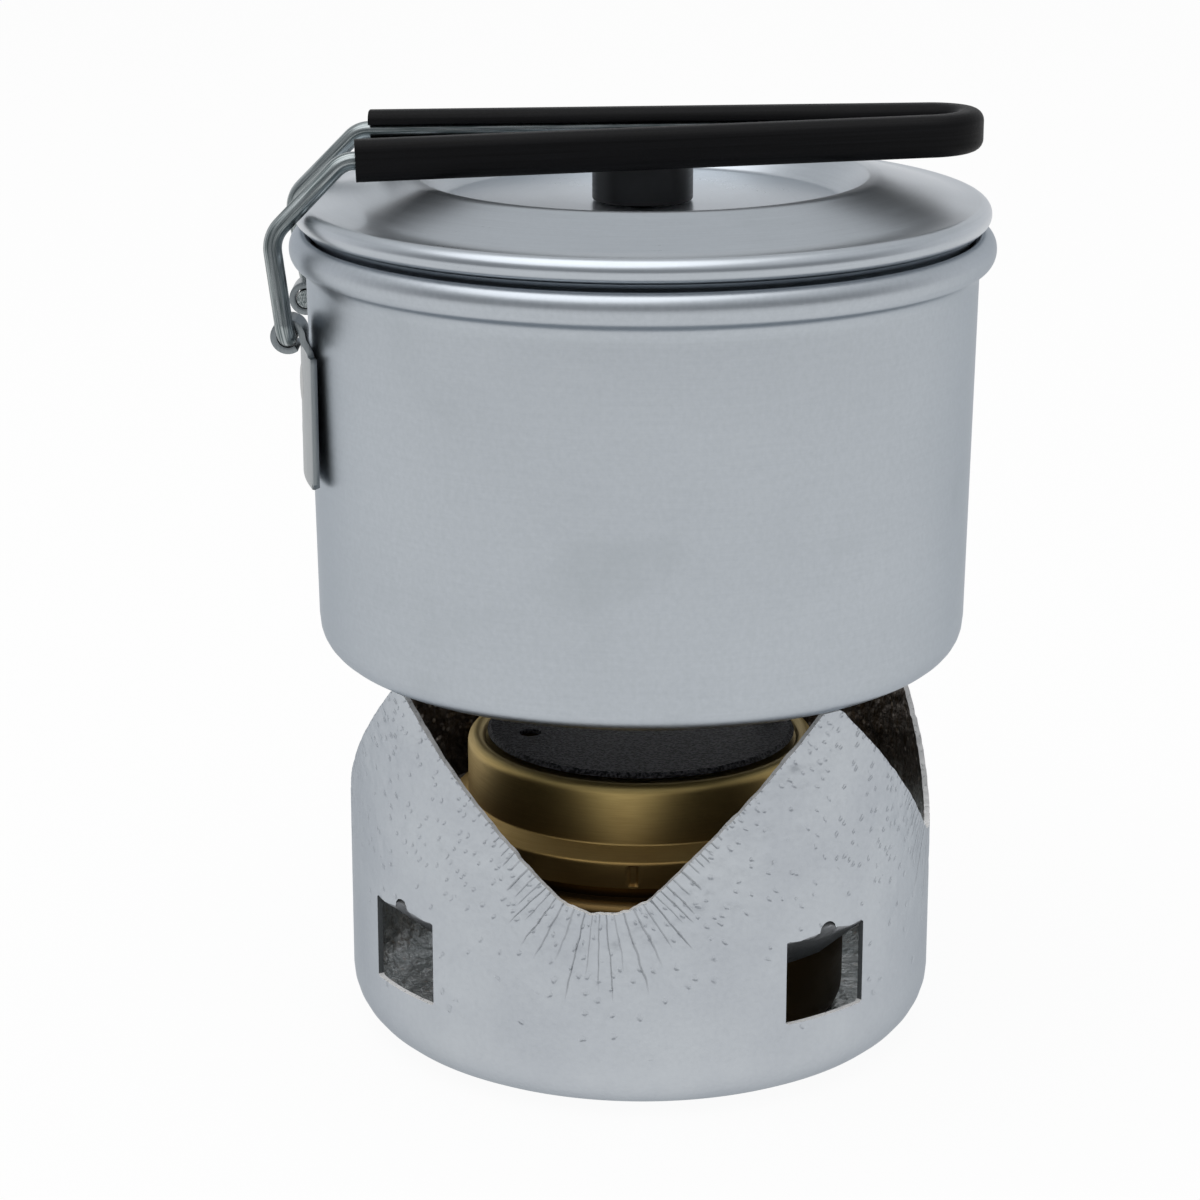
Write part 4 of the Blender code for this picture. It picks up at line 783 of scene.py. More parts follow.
def make_sheet_steel():
    """Stainless sheet, rolled: satin, with fine lines up and down, 0.35 mm apart."""
    look, tree, shader = start("stainless_sheet_satin", "#868C8F", 1.0, 0.32)
    spot = add(tree, "ShaderNodeTexCoord").outputs["Object"]
    lines = add(tree, "ShaderNodeVectorMath", {"operation": "MULTIPLY"}, {
        0: spot, 1: (1 / (0.35 * MM), 1 / (0.35 * MM), 1 / (6 * MM))}).outputs[0]
    grain = add(tree, "ShaderNodeTexNoise", inputs={
        "Vector": lines, "Scale": 1.0, "Detail": 3.0, "Roughness": 0.6}).outputs[0]
    tone = add(tree, "ShaderNodeValToRGB", inputs={0: grain})
    tone.color_ramp.elements[0].position, tone.color_ramp.elements[0].color = 0.34, paint("#7A8083")
    tone.color_ramp.elements[1].position, tone.color_ramp.elements[1].color = 0.68, paint("#8F9598")
    tree.links.new(tone.outputs[0], shader.inputs["Base Color"])
    rough = add(tree, "ShaderNodeMapRange", inputs={
        "Value": grain, "From Min": 0.3, "From Max": 0.7, "To Min": 0.26, "To Max": 0.40}).outputs[0]
    tree.links.new(rough, shader.inputs["Roughness"])
    bump = add(tree, "ShaderNodeBump", inputs={
        "Height": grain, "Strength": 0.4, "Distance": 0.02 * MM}).outputs[0]
    tree.links.new(bump, shader.inputs["Normal"])
    return look


def make_plated_steel():
    """Small hardware of zinc-plated steel: dull, with the plating's fine cloudy grain."""
    look, tree, shader = start("zinc_plated_steel", "#A4A6A6", 1.0, 0.36)
    spot = add(tree, "ShaderNodeTexCoord").outputs["Object"]
    cloud = add(tree, "ShaderNodeTexNoise", inputs={
        "Vector": spot, "Scale": 1 / (1.2 * MM), "Detail": 4.0, "Roughness": 0.6}).outputs[0]
    tone = add(tree, "ShaderNodeValToRGB", inputs={0: cloud})
    tone.color_ramp.elements[0].position, tone.color_ramp.elements[0].color = 0.34, paint("#9A9D9E")
    tone.color_ramp.elements[1].position, tone.color_ramp.elements[1].color = 0.68, paint("#A9ABAB")
    tree.links.new(tone.outputs[0], shader.inputs["Base Color"])
    bump = add(tree, "ShaderNodeBump", inputs={
        "Height": cloud, "Strength": 0.2, "Distance": 0.03 * MM}).outputs[0]
    tree.links.new(bump, shader.inputs["Normal"])
    return look


def make_cotton():
    """Felted cotton wick: soft and matt, its fibres about 0.3 mm apart."""
    look, tree, shader = start("felted_cotton", "#CFC6B4", 0.0, 0.95)
    spot = add(tree, "ShaderNodeTexCoord").outputs["Object"]
    fibres = add(tree, "ShaderNodeVectorMath", {"operation": "MULTIPLY"}, {
        0: spot, 1: (1 / (0.4 * MM), 1 / (0.4 * MM), 1 / (1.2 * MM))}).outputs[0]
    felt = add(tree, "ShaderNodeTexNoise", inputs={
        "Vector": fibres, "Scale": 1.0, "Detail": 5.0, "Roughness": 0.7}).outputs[0]
    tone = add(tree, "ShaderNodeValToRGB", inputs={0: felt})
    tone.color_ramp.elements[0].position, tone.color_ramp.elements[0].color = 0.35, paint("#A2967F")
    tone.color_ramp.elements[1].position, tone.color_ramp.elements[1].color = 0.65, paint("#DAD2C2")
    tree.links.new(tone.outputs[0], shader.inputs["Base Color"])
    bump = add(tree, "ShaderNodeBump", inputs={
        "Height": felt, "Strength": 1.0, "Distance": 0.3 * MM}).outputs[0]
    tree.links.new(bump, shader.inputs["Normal"])
    return look


FRONT_TONES = [(0.05, paint("#989A9D")), (0.45, paint("#A4A6A9")), (0.62, paint("#DADCDE")),
               (0.88, paint("#F6F6F8"))]
BACK_TONES = [(0.05, paint("#F6F6F8")), (0.35, paint("#EEEFF1")), (0.60, paint("#D2D4D6")),
              (0.88, paint("#DCDEE0"))]
POT_ALUMINIUM = make_spun_aluminium("spun_aluminium_satin", 0.32, 0.40, 0.35, "#D2D6DA")
LID_ALUMINIUM = make_spun_aluminium("spun_aluminium_bright", 0.27, 0.33, 0.7, "#FFFFFF")
DRAWN_ALUMINIUM = make_drawn_aluminium()
SHADED_INSIDE = make_shaded_inside()
SHEARED_EDGE = make_sheared_edge()
GALVANISED_WIRE = make_galvanised_wire()
SLEEVE_RUBBER = make_sleeve_rubber()
MOULDED_PHENOLIC = make_moulded_phenolic()
# Both brasses carry painted shade low down; the tank's is much darker
RING_BRASS = make_satin_brass("turned_brass_satin", SKIRT_EDGE, RING_CREST, "#A58450", "#BCA56B")
TANK_BRASS = make_satin_brass("turned_brass_painted_shade_low", TANK_FOOT, SKIRT_EDGE, "#382C1C", "#7C6540")
BLACK_COAT = make_black_coat()
SHEET_STEEL = make_sheet_steel()
PLATED_STEEL = make_plated_steel()
COTTON = make_cotton()


def dress(piece, look, body, slot, *nodes):
    """Gives a finished piece its material, and puts it in the place of the CAD nodes it stands for."""
    if look:
        piece.data.materials.clear()
        piece.data.materials.append(look)
    pick(piece)
    bpy.ops.object.shade_smooth_by_angle(angle=radians(SOFT_ANGLE))
    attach(piece, body)
    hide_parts(*nodes)
    return piece


# Windshield
NOTCH_HALF = (2 * pi * WIND_RADIUS / ARM_COUNT - ARM_TIP_WIDTH) / 2
NOTCH_SLOPE = (WIND_HEIGHT - NOTCH_APEX) / NOTCH_HALF
NOTCH_STEEP = sqrt(1.0 + NOTCH_SLOPE ** 2)
NOTCH_FOCUS = NOTCH_APEX + NOTCH_FILLET * NOTCH_STEEP
NOTCH_LEAN = asin(NOTCH_SLOPE / NOTCH_STEEP)
FILLET_RUN = NOTCH_FILLET * NOTCH_LEAN
QUARTER = 360.0 / ARM_COUNT
HALF_WINDOW = degrees(asin(WINDOW_WIDTH / 2 / WIND_RADIUS))
WINDOW_COLUMN = HALF_WINDOW / HALF_WINDOW_COLUMNS


def notch_edge(along):
    """Heights of a notch's edge at distances along the wall from the notch's middle."""
    tangent = NOTCH_FILLET * NOTCH_SLOPE / NOTCH_STEEP
    inside = np.minimum(np.abs(along), tangent)
    bottom = NOTCH_FOCUS - np.sqrt(NOTCH_FILLET ** 2 - inside ** 2)
    sides = NOTCH_APEX + NOTCH_SLOPE * np.abs(along)
    return np.minimum(np.where(np.abs(along) >= tangent, sides, bottom), WIND_HEIGHT)


def beside_edge(along, height):
    """Places on the wall as (run along the notch's edge from its middle, distance from the edge)."""
    side, down = np.abs(along), NOTCH_FOCUS - height
    straight = np.arctan2(side, down) > NOTCH_LEAN
    run = np.where(straight, FILLET_RUN + side * cos(NOTCH_LEAN) - down * sin(NOTCH_LEAN),
                   NOTCH_FILLET * np.arctan2(side, down))
    away = np.where(straight, side * sin(NOTCH_LEAN) + down * cos(NOTCH_LEAN), np.hypot(side, down))
    return np.copysign(run, along), away - NOTCH_FILLET


def rough_line(where, length, seed):
    """Random heights from -1 to 1 along a line, with a knot at every length."""
    knots = np.arange(where.min() - length, where.max() + 2 * length, length)
    heights = np.random.default_rng(seed).uniform(-1, 1, len(knots))
    return np.interp(where, knots, heights)


def folds_at(run, away, notch):
    """Where places lie among a notch's creases: creases passed, their gap, and share of length."""
    across = run / CREASE_GAP
    place = across + 0.3 * np.sin(0.9 * across + notch) + CREASE_STRIDE * notch
    spread = np.where(np.abs(run) < FILLET_RUN, 1 + np.maximum(away, 0) / NOTCH_FILLET, 1)
    length = CREASE_LEAST + CREASE_LENGTH * np.exp(-(run / CREASE_FADE) ** 2)
    return place, CREASE_GAP * spread, away / length


def draw_marks(run, away, notch):
    """Depths in metres of the creases and dents that deep drawing leaves round a notch."""
    place, gap, share = folds_at(run, away, notch)
    line = np.round(place + 0.25)
    off = (place + 0.25 - line) * gap
    own = CREASE_MEAN + CREASE_VARIES * np.sin(CREASE_TURN * line)
    depth = CREASE_DEPTH * own * np.clip((own - share) * 3, 0, 1) * np.exp(-(off / CREASE_WIDTH) ** 2)
    chance = np.random.default_rng(21 + notch)
    spread = gap / CREASE_GAP
    for _ in range(DENTS):
        along = chance.uniform(-FILLET_RUN - 40 * MM, FILLET_RUN + 40 * MM)
        start = chance.exponential(7.0) * MM + 0.8 * MM
        lean = chance.normal(0, 0.35)
        across, on = (run - along) * spread, away - start
        width, length = chance.uniform(0.6, 1.0) * MM, chance.uniform(0.9, 2.1) * MM
        narrow = (across * cos(lean) + on * sin(lean)) / width
        long = (on * cos(lean) - across * sin(lean)) / length
        depth += chance.uniform(0.04, 0.15) * MM * np.exp(-narrow ** 2 - long ** 2)
    return depth


def bend_tabs(spots, flap, arm, side, drop, torn):
    """Bends the windows' flaps inwards along their heads. Side and drop are places on the flat flap."""
    bend = radians(TAB_TILT)
    turn = np.clip(drop / TAB_BEND, 0, bend)
    straight = np.maximum(drop - TAB_BEND * bend, 0.0)
    inwards = TAB_BEND * (1 - np.cos(turn)) + straight * sin(bend)
    height = WINDOW_HEAD - TAB_BEND * np.sin(turn) - straight * cos(bend) + torn
    out = np.sqrt(WIND_RADIUS ** 2 - side ** 2) - inwards
    sine, cosine = np.sin(np.radians(arm)), np.cos(np.radians(arm))
    bent = np.stack([out * sine + side * cosine, side * sine - out * cosine, height], 1)
    spots[flap] = bent[flap]


def turned_places(piece):
    """The lathed wall's vertices as radius, turn from the nearest arm in degrees, that arm, and height."""
    spots = places_of(piece)
    bearing = np.degrees(np.arctan2(spots[:, 0], -spots[:, 1]))
    arm = ARM_BEARING + QUARTER * np.round((bearing - ARM_BEARING) / QUARTER)
    return np.hypot(spots[:, 0], spots[:, 1]), bearing - arm, arm, spots[:, 2]


def face_places(piece):
    """For each face: its middle, and where its corners start. For each corner: its vertex and its face."""
    mesh = piece.data
    corners, starts = np.empty(len(mesh.loops), int), np.empty(len(mesh.polygons), int)
    mesh.loops.foreach_get("vertex_index", corners)
    mesh.polygons.foreach_get("loop_start", starts)
    sizes = np.diff(np.append(starts, len(corners)))
    middle = np.add.reduceat(places_of(piece)[corners], starts, axis=0) / sizes[:, None]
    return middle, corners, np.repeat(np.arange(len(starts)), sizes)


def cut_windows(shell):
    """Cuts the round relief hole at each tab's bend and splits the windows' flaps off the wall.

    Returns the vertices of the flaps and of the holes' edges, as masks.
    """
    middle, corners, face_of = face_places(shell)
    turn = np.degrees(np.arctan2(middle[:, 0], -middle[:, 1])) - ARM_BEARING
    column = (turn - QUARTER * np.round(turn / QUARTER)) * WIND_COLUMNS / 360.0
    on_wall = np.hypot(middle[:, 0], middle[:, 1]) > WIND_RADIUS - 0.1 * MM
    side = WIND_RADIUS * np.radians(column * WINDOW_COLUMN)
    hole = on_wall & (np.hypot(side, middle[:, 2] - WINDOW_HEAD) < RELIEF_RADIUS * 1.1)
    edge = np.zeros(len(shell.data.vertices))
    edge[corners[hole[face_of]]] = 1.0
    store(shell, "hole_edge", "FLOAT", "POINT", edge)
    edit_faces(shell, hole)
    bpy.ops.mesh.delete(type="FACE")
    leave()
    middle, corners, face_of = face_places(shell)
    turn = np.degrees(np.arctan2(middle[:, 0], -middle[:, 1])) - ARM_BEARING
    column = (turn - QUARTER * np.round(turn / QUARTER)) * WIND_COLUMNS / 360.0
    on_wall = np.hypot(middle[:, 0], middle[:, 1]) > WIND_RADIUS - 0.1 * MM
    inside = (middle[:, 2] > WINDOW_SILL) & (middle[:, 2] < WINDOW_HEAD)
    edit_faces(shell, on_wall & inside & (np.abs(column) < HALF_WINDOW_COLUMNS))
    bpy.ops.mesh.split()
    leave()
    chosen = np.empty(len(shell.data.polygons), bool)
    shell.data.polygons.foreach_get("select", chosen)
    middle, corners, face_of = face_places(shell)
    flap = np.zeros(len(shell.data.vertices), bool)
    flap[corners[chosen[face_of]]] = True
    edge = np.empty(len(flap))
    shell.data.attributes["hole_edge"].data.foreach_get("value", edge)
    shell.data.attributes.remove(shell.data.attributes["hole_edge"])
    return flap, edge > 0.5


def make_windshield():
    """A drawn cup cut by deep notches into arms, with a window under each arm bent inwards as a tab."""
    flat = WIND_RADIUS - WIND_CORNER
    profile = [(0.0, 0.0), (FLOOR_RING, 0.0)]
    profile += arc((flat, WIND_CORNER), WIND_CORNER, WIND_CORNER, -90, 0, CORNER_ROWS)
    bands = ((WIND_CORNER, WINDOW_SILL, LOW_ROWS), (WINDOW_SILL, WINDOW_HEAD, WINDOW_ROWS),
             (WINDOW_HEAD, WIND_HEIGHT, ARM_ROWS))
    for low, high, rows in bands:
        profile += [(WIND_RADIUS, low + (high - low) * (i + 1) / rows) for i in range(rows)]
    shell = lathe("drawn_windshield", profile, WIND_COLUMNS, bearing=ARM_BEARING)
    flap, hole_edge = cut_windows(shell)

    # Columns: even across a window, and crowded towards the middles of the notches
    radius, turn, arm, height = turned_places(shell)
    column = turn * WIND_COLUMNS / 360.0
    half_columns = WIND_COLUMNS / ARM_COUNT / 2
    past = np.clip((np.abs(column) - HALF_WINDOW_COLUMNS) / (half_columns - HALF_WINDOW_COLUMNS), 0, 1)
    beyond = (QUARTER / 2 - HALF_WINDOW) * past * (1 + COLUMN_CROWDING * (1 - past))
    within = WINDOW_COLUMN * np.minimum(np.abs(column), HALF_WINDOW_COLUMNS)
    turn = np.sign(column) * (within + beyond)
    along = WIND_RADIUS * np.radians(turn - np.copysign(QUARTER / 2, turn))
    where = WIND_RADIUS * np.radians(arm + turn)

    # Rows: level with the window's sill and head near the arms, and spread evenly under the notches
    low_share = np.clip((height - WINDOW_SILL) / (WINDOW_HEAD - WINDOW_SILL), 0, 1)
    high_share = np.clip((height - WINDOW_HEAD) / (WIND_HEIGHT - WINDOW_HEAD), 0, 1)
    edge = notch_edge(along)
    rough = EDGE_ROUGHNESS * (1 + 1.2 * np.exp(-(along / (9 * MM)) ** 2)) * rough_line(where, 0.8 * MM, 3)
    edge = np.minimum(edge + np.where(edge < WIND_HEIGHT - 0.5 * MM, rough, 0), WIND_HEIGHT)
    at_arm = WINDOW_SILL + (WINDOW_HEAD - WINDOW_SILL) * low_share + (edge - WINDOW_HEAD) * high_share
    rows = (WINDOW_ROWS * low_share + ARM_ROWS * high_share) / (WINDOW_ROWS + ARM_ROWS)
    evenly = WINDOW_SILL + (edge - WINDOW_SILL) * rows
    blend = np.clip((np.abs(turn) - HALF_WINDOW - 1.5) / 14.0, 0, 1)
    blend = blend * blend * (3 - 2 * blend)
    wall = radius > WIND_RADIUS - TIDY
    height = np.where(wall & (height > WINDOW_SILL), at_arm + (evenly - at_arm) * blend, height)

    # The marks of the draw, which leave the windows' surrounds and the arms' tips as they are
    run, away = beside_edge(along, height)
    notch = (np.round((arm - ARM_BEARING) / QUARTER).astype(int) + (turn > 0)) % ARM_COUNT
    depth = np.zeros_like(run)
    for i in range(ARM_COUNT):
        mine = notch == i
        depth[mine] = draw_marks(run[mine], away[mine], i)
    beside = np.maximum(np.abs(turn) - HALF_WINDOW, 0) * radians(1) * WIND_RADIUS
    over = np.maximum(np.maximum(WINDOW_SILL - height, height - WINDOW_HEAD), 0)
    keep = np.clip((np.maximum(beside, over) - 0.4 * MM) / (1.2 * MM), 0, 1)
    keep = keep * np.clip((height - 11 * MM) / (8 * MM), 0, 1) * wall
    tips = np.clip((WIND_HEIGHT - height) / (1.5 * MM), 0, 1)
    radius = radius - depth * keep * tips

    # Torn heads and rounded corners of the windows, and round edges of the relief holes
    side = WIND_RADIUS * np.sin(np.radians(turn))
    drop = WINDOW_HEAD - height
    in_window = wall & (np.abs(turn) < HALF_WINDOW + 0.01) & (drop < WINDOW_HEAD - WINDOW_SILL + TIDY)
    head_row = in_window & (np.abs(drop) < TIDY)
    reach = np.hypot(side, drop) / RELIEF_RADIUS
    side = np.where(hole_edge, side / np.maximum(reach, 0.1), side)
    drop = np.where(hole_edge, drop / np.maximum(reach, 0.1), drop)
    drop = np.where(hole_edge & (drop > 0), drop * RELIEF_FOOT, drop)
    tear = 0.22 * MM * rough_line(where, 1.6 * MM, 8) + 0.30 * MM * np.cos(side / (1.9 * MM))
    tear = tear * (np.abs(np.abs(turn) - HALF_WINDOW) > 0.1) * ~hole_edge
    torn = np.where(in_window & (drop < 2 * MM), tear * np.clip(1 - np.abs(drop) / (1.5 * MM), 0, 1), 0)
    height = np.where(hole_edge, WINDOW_HEAD - drop, height + torn)
    turn = np.where(hole_edge, np.degrees(np.arcsin(side / WIND_RADIUS)), turn)
    at_side = wall & ~flap & (np.abs(np.abs(turn) - HALF_WINDOW) < 0.05)
    height = np.where(at_side & (np.abs(drop) < TIDY), height - 0.45 * MM, height)
    height = np.where(at_side & (np.abs(height - WINDOW_SILL) < TIDY), height + 0.35 * MM, height)
    spots = np.stack([radius * np.sin(np.radians(arm + turn)), -radius * np.cos(np.radians(arm + turn)),
                      height], 1)
    trimmed = side * (1 - TAB_SIDE_GAP / (WINDOW_WIDTH / 2) * np.clip(drop / (3 * MM), 0, 1))
    stretched = drop * TAB_LENGTH / (WINDOW_HEAD - WINDOW_SILL)
    bend_tabs(spots, flap & (drop > -TIDY), arm, trimmed, stretched, torn)
    put_back(shell, spots)
    strain = 0.55 * np.clip(1.1 - away / (26 * MM), 0.18, 1.0)
    strain = strain * np.clip((height - 9 * MM) / (9 * MM), 0, 1) * wall
    store(shell, "strain", "FLOAT", "POINT", strain)

    # Each face's corners read the run along the edge of the notch that the face is nearest to
    middle, corners, face_of = face_places(shell)
    bearing = np.degrees(np.arctan2(middle[:, 0], -middle[:, 1]))
    first = ARM_BEARING - QUARTER / 2
    nearest = (np.round((bearing - first) / QUARTER) % ARM_COUNT)[face_of]
    bearing = np.degrees(np.arctan2(spots[corners, 0], -spots[corners, 1]))
    turn = (bearing - first - QUARTER * nearest + 180) % 360 - 180
    run, away = beside_edge(WIND_RADIUS * np.radians(turn), spots[corners, 2])
    bent = np.clip(run, -FILLET_RUN, FILLET_RUN)
    rays = np.stack([(run + 0.5 * bent) / MM, away / MM, 10.0 * nearest], 1)
    store(shell, "rays", "FLOAT_VECTOR", "CORNER", rays)
    # Painted shade on the tabs bent inwards, which face down into the dark inside
    store(shell, "tab_shade", "FLOAT", "CORNER", flap[corners])
    place, gap, share = folds_at(run, away, nearest)
    store(shell, "folds", "FLOAT_VECTOR", "CORNER", np.stack([place, gap / MM, share], 1))
    edit_points(shell, head_row & ~hole_edge)
    bpy.ops.mesh.remove_doubles(threshold=TIDY)
    leave()
    for look in (DRAWN_ALUMINIUM, SHADED_INSIDE, SHEARED_EDGE):
        shell.data.materials.append(look)
    modify(shell, "SOLIDIFY", thickness=WIND_SHEET, offset=-1.0, material_offset=1, material_offset_rim=2)
    return dress(shell, None, "windshield", "drawn_aluminium", "windshield")


# Pot and lid
def rounded(corner, before, after, radius, steps=EDGE_STEPS):
    """Points on the bend at a corner between two straight runs."""
    back = (before - corner).normalized()
    ahead = (after - corner).normalized()
    half = back.angle(ahead) / 2
    reach = radius / tan(half)
    centre = corner + (back + ahead).normalized() * (radius / sin(half))
    start, end = corner + back * reach - centre, corner + ahead * reach - centre
    return [centre + start.slerp(end, i / steps) * radius for i in range(steps + 1)]


def softened(line):
    """Points of a line of (across, up, bend radius) corners, with each bend rounded."""
    corners = [Vector((across, up, 0.0)) for across, up, _ in line]
    points = [corners[0]]
    for i in range(1, len(line) - 1):
        radius = line[i][2]
        bend = rounded(corners[i], corners[i - 1], corners[i + 1], radius) if radius else [corners[i]]
        points += bend
    return [(p.x, p.y) for p in points + [corners[-1]]]


def rivet_places():
    """Where the bracket's rivets cross the pot's wall, and the way out."""
    places = []
    spots = [(-RIVET_SIDE, RIVET_UPPER_DROP), (RIVET_SIDE, RIVET_UPPER_DROP), (0.0, RIVET_LOWER_DROP)]
    for side, drop in spots:
        height = PIVOT_Z - drop
        radius = pot_radius(height)
        out = Vector((-sqrt(radius ** 2 - side ** 2), side, 0.0)) / radius
        places.append((out * radius + Vector((0.0, 0.0, height)), out))
    return places


def make_pot():
    """A straight pot with a rounded foot, a flared neck and a rolled rim."""
    corner = (POT_BASE_RADIUS - POT_CORNER, POT_FLOOR + POT_CORNER)
    inner = POT_CORNER - POT_SHEET
    mouth = POT_MOUTH_RADIUS - POT_SHEET
    bead = (POT_MOUTH_RADIUS + POT_RIM_OVERHANG - POT_BEAD_WIDTH, POT_TOP - POT_BEAD_HEIGHT)
    profile = [(0.0, POT_FLOOR + POT_SHEET), (FLOOR_RING, POT_FLOOR + POT_SHEET)]
    profile += arc(corner, inner, inner, -90, 0, CORNER_ROWS)
    profile += [(corner[0] + inner, corner[1] + MM), (mouth, POT_NECK - MM), (mouth, POT_NECK)]
    profile += arc(bead, bead[0] - mouth, POT_BEAD_HEIGHT, 180, 90, BEAD_STEPS // 2)
    profile += arc(bead, POT_BEAD_WIDTH, POT_BEAD_HEIGHT, 85, -65, BEAD_STEPS)
    start, end = Vector(profile[-1]), Vector((POT_MOUTH_RADIUS, POT_NECK))
    hollow = Vector((POT_MOUTH_RADIUS + 0.04 * MM, POT_NECK + 2.0 * MM))
    for i in range(1, BEAD_STEPS // 2 + 1):
        t = i / (BEAD_STEPS // 2)
        profile.append(tuple(start * (1 - t) ** 2 + hollow * 2 * t * (1 - t) + end * t ** 2))
    profile += [(pot_radius(POT_NECK - MM), POT_NECK - MM), (pot_radius(corner[1] + MM), corner[1] + MM)]
    profile += arc(corner, POT_CORNER, POT_CORNER, 0, -90, CORNER_ROWS)
    profile += [(FLOOR_RING, POT_FLOOR), (0.0, POT_FLOOR)]
    pot = lathe("spun_pot", profile)
    drill(pot, rivet_places(), RIVET_RADIUS + GAP, 10 * MM)
    return dress(pot, POT_ALUMINIUM, "pot", "spun_aluminium", "pot")


def make_lid():
    """A lid with a rolled edge, a skirt inside the pot, a raised crest and a sunken middle."""
    sheet = LID_SHEET
    edge = (POT_MOUTH_RADIUS + POT_RIM_OVERHANG - LID_RIM_INSET - LID_BEAD, LID_EDGE_HEIGHT)
    skirt = POT_MOUTH_RADIUS - POT_SHEET - LID_SKIRT_PLAY
    floor, crest = LID_WELL_FLOOR, LID_CREST_HEIGHT
    well = LID_CREST_RADIUS - LID_WELL_SLOPE
    flat = LID_CREST_RADIUS + LID_CREST_FLAT
    shoulder = (edge[0] - LID_BEAD, edge[1] + LID_BEAD)
    profile = softened([(LID_HOLE, floor, 0), (well - 0.5 * MM, floor, 1.3 * MM),
                        (LID_CREST_RADIUS, crest, 0.8 * MM), (flat, crest, 6.0 * MM),
                        (*shoulder, 14.0 * MM), (edge[0], shoulder[1], 0)])
    profile += arc(edge, LID_BEAD, LID_BEAD, 86, -75, BEAD_STEPS)
    profile += softened([(edge[0], LID_SEAT, 0), (skirt, LID_SEAT, 0.4 * MM),
                         (skirt, LID_SEAT - LID_SKIRT_DEPTH, 0),
                         (skirt - sheet, LID_SEAT - LID_SKIRT_DEPTH, 0),
                         (skirt - sheet, shoulder[1] - sheet, 0.6 * MM),
                         (flat - 0.2 * MM, crest - sheet, 5.0 * MM),
                         (LID_CREST_RADIUS + 0.6 * MM, crest - sheet, 0.4 * MM),
                         (well + 0.2 * MM, floor - sheet, 2.0 * MM), (LID_HOLE, floor - sheet, 0)])
    lid = lathe("spun_lid", profile, ring=True)
    return dress(lid, LID_ALUMINIUM, "lid", "spun_aluminium", "lid")


def make_knob():
    """The knob, its threaded insert, and the washer and screw that hold it from below."""
    foot = LID_WELL_FLOOR + GAP
    top = foot + KNOB_HEIGHT
    bore, roof = INSERT_RADIUS + GAP, foot + INSERT_LENGTH + GAP
    flat = KNOB_RADIUS - KNOB_EDGE
    profile = [(0.0, top), (flat * 0.5, top - 0.04 * MM)]
    profile += arc((flat, top - KNOB_EDGE - 0.16 * MM), KNOB_EDGE, KNOB_EDGE, 84, 0, EDGE_STEPS)
    profile += softened([(KNOB_RADIUS, foot + KNOB_HEIGHT / 2, 0), (KNOB_RADIUS, foot, 0.4 * MM),
                         (bore, foot, 0), (bore, roof, 0), (0.0, roof, 0)])
    knob = lathe("moulded_knob", profile, SIDES // 2)
    dress(knob, MOULDED_PHENOLIC, "lid", "black_knob", "lid_knob")
    thread, deep = SCREW_RADIUS + GAP, foot + SCREW_REACH + GAP
    profile = softened([(0.0, foot + INSERT_LENGTH, 0), (INSERT_RADIUS, foot + INSERT_LENGTH, 0.3 * MM),
                        (INSERT_RADIUS, foot, 0.2 * MM), (thread, foot, 0.2 * MM), (thread, deep, 0),
                        (0.0, deep, 0)])
    insert = lathe("turned_insert", profile, SMALL_SIDES)
    dress(insert, TANK_BRASS, "lid", "satin_brass", "knob_insert")
    under = LID_WELL_FLOOR - LID_SHEET - GAP
    rest = under - WASHER_THICKNESS
    middle = (WASHER_RADIUS + thread) / 2
    profile = softened([(middle, under, 0), (WASHER_RADIUS, under, 0.2 * MM),
                        (WASHER_RADIUS, rest, 0.2 * MM),
                        (thread, rest, 0.1 * MM), (thread, under, 0.1 * MM), (middle, under, 0)])
    washer = lathe("stamped_washer", profile, SMALL_SIDES)
    dress(washer, PLATED_STEEL, "lid", "steel_hardware", "knob_washer")
    head = rest - GAP
    base = head - SCREW_HEAD_HEIGHT
    profile = softened([(0.0, foot + SCREW_REACH, 0), (SCREW_RADIUS, foot + SCREW_REACH, 0.4 * MM),
                        (SCREW_RADIUS, head, 0), (SCREW_HEAD_RADIUS, head, 0.1 * MM),
                        (SCREW_HEAD_RADIUS, base, 0.7 * MM), (0.0, base, 0)])
    screw = lathe("slotted_screw", profile, SMALL_SIDES)
    slot = (3 * SCREW_HEAD_RADIUS, SCREW_SLOT_WIDTH, 2 * SCREW_SLOT_DEPTH)
    bpy.ops.mesh.primitive_cube_add(size=1.0, location=(0.0, 0.0, base), scale=slot)
    cutter = bpy.context.active_object
    modify(screw, "BOOLEAN", operation="DIFFERENCE", solver="EXACT", object=cutter)
    bpy.data.objects.remove(cutter, do_unlink=True)
    dress(screw, PLATED_STEEL, "lid", "steel_hardware", "knob_screw")


# Handle bracket and its rivets
def bracket_centre():
    """X of the axis that the bracket's plate bends round, which leaves the gap at the plate's middle."""
    return BRACKET_BEND - pot_radius(PIVOT_Z - BRACKET_TOP) - GAP


def plate_at(side):
    """X of the middle of the plate's sheet, at a distance from its middle."""
    return bracket_centre() - np.sqrt((BRACKET_BEND + BRACKET_SHEET / 2) ** 2 - side ** 2)


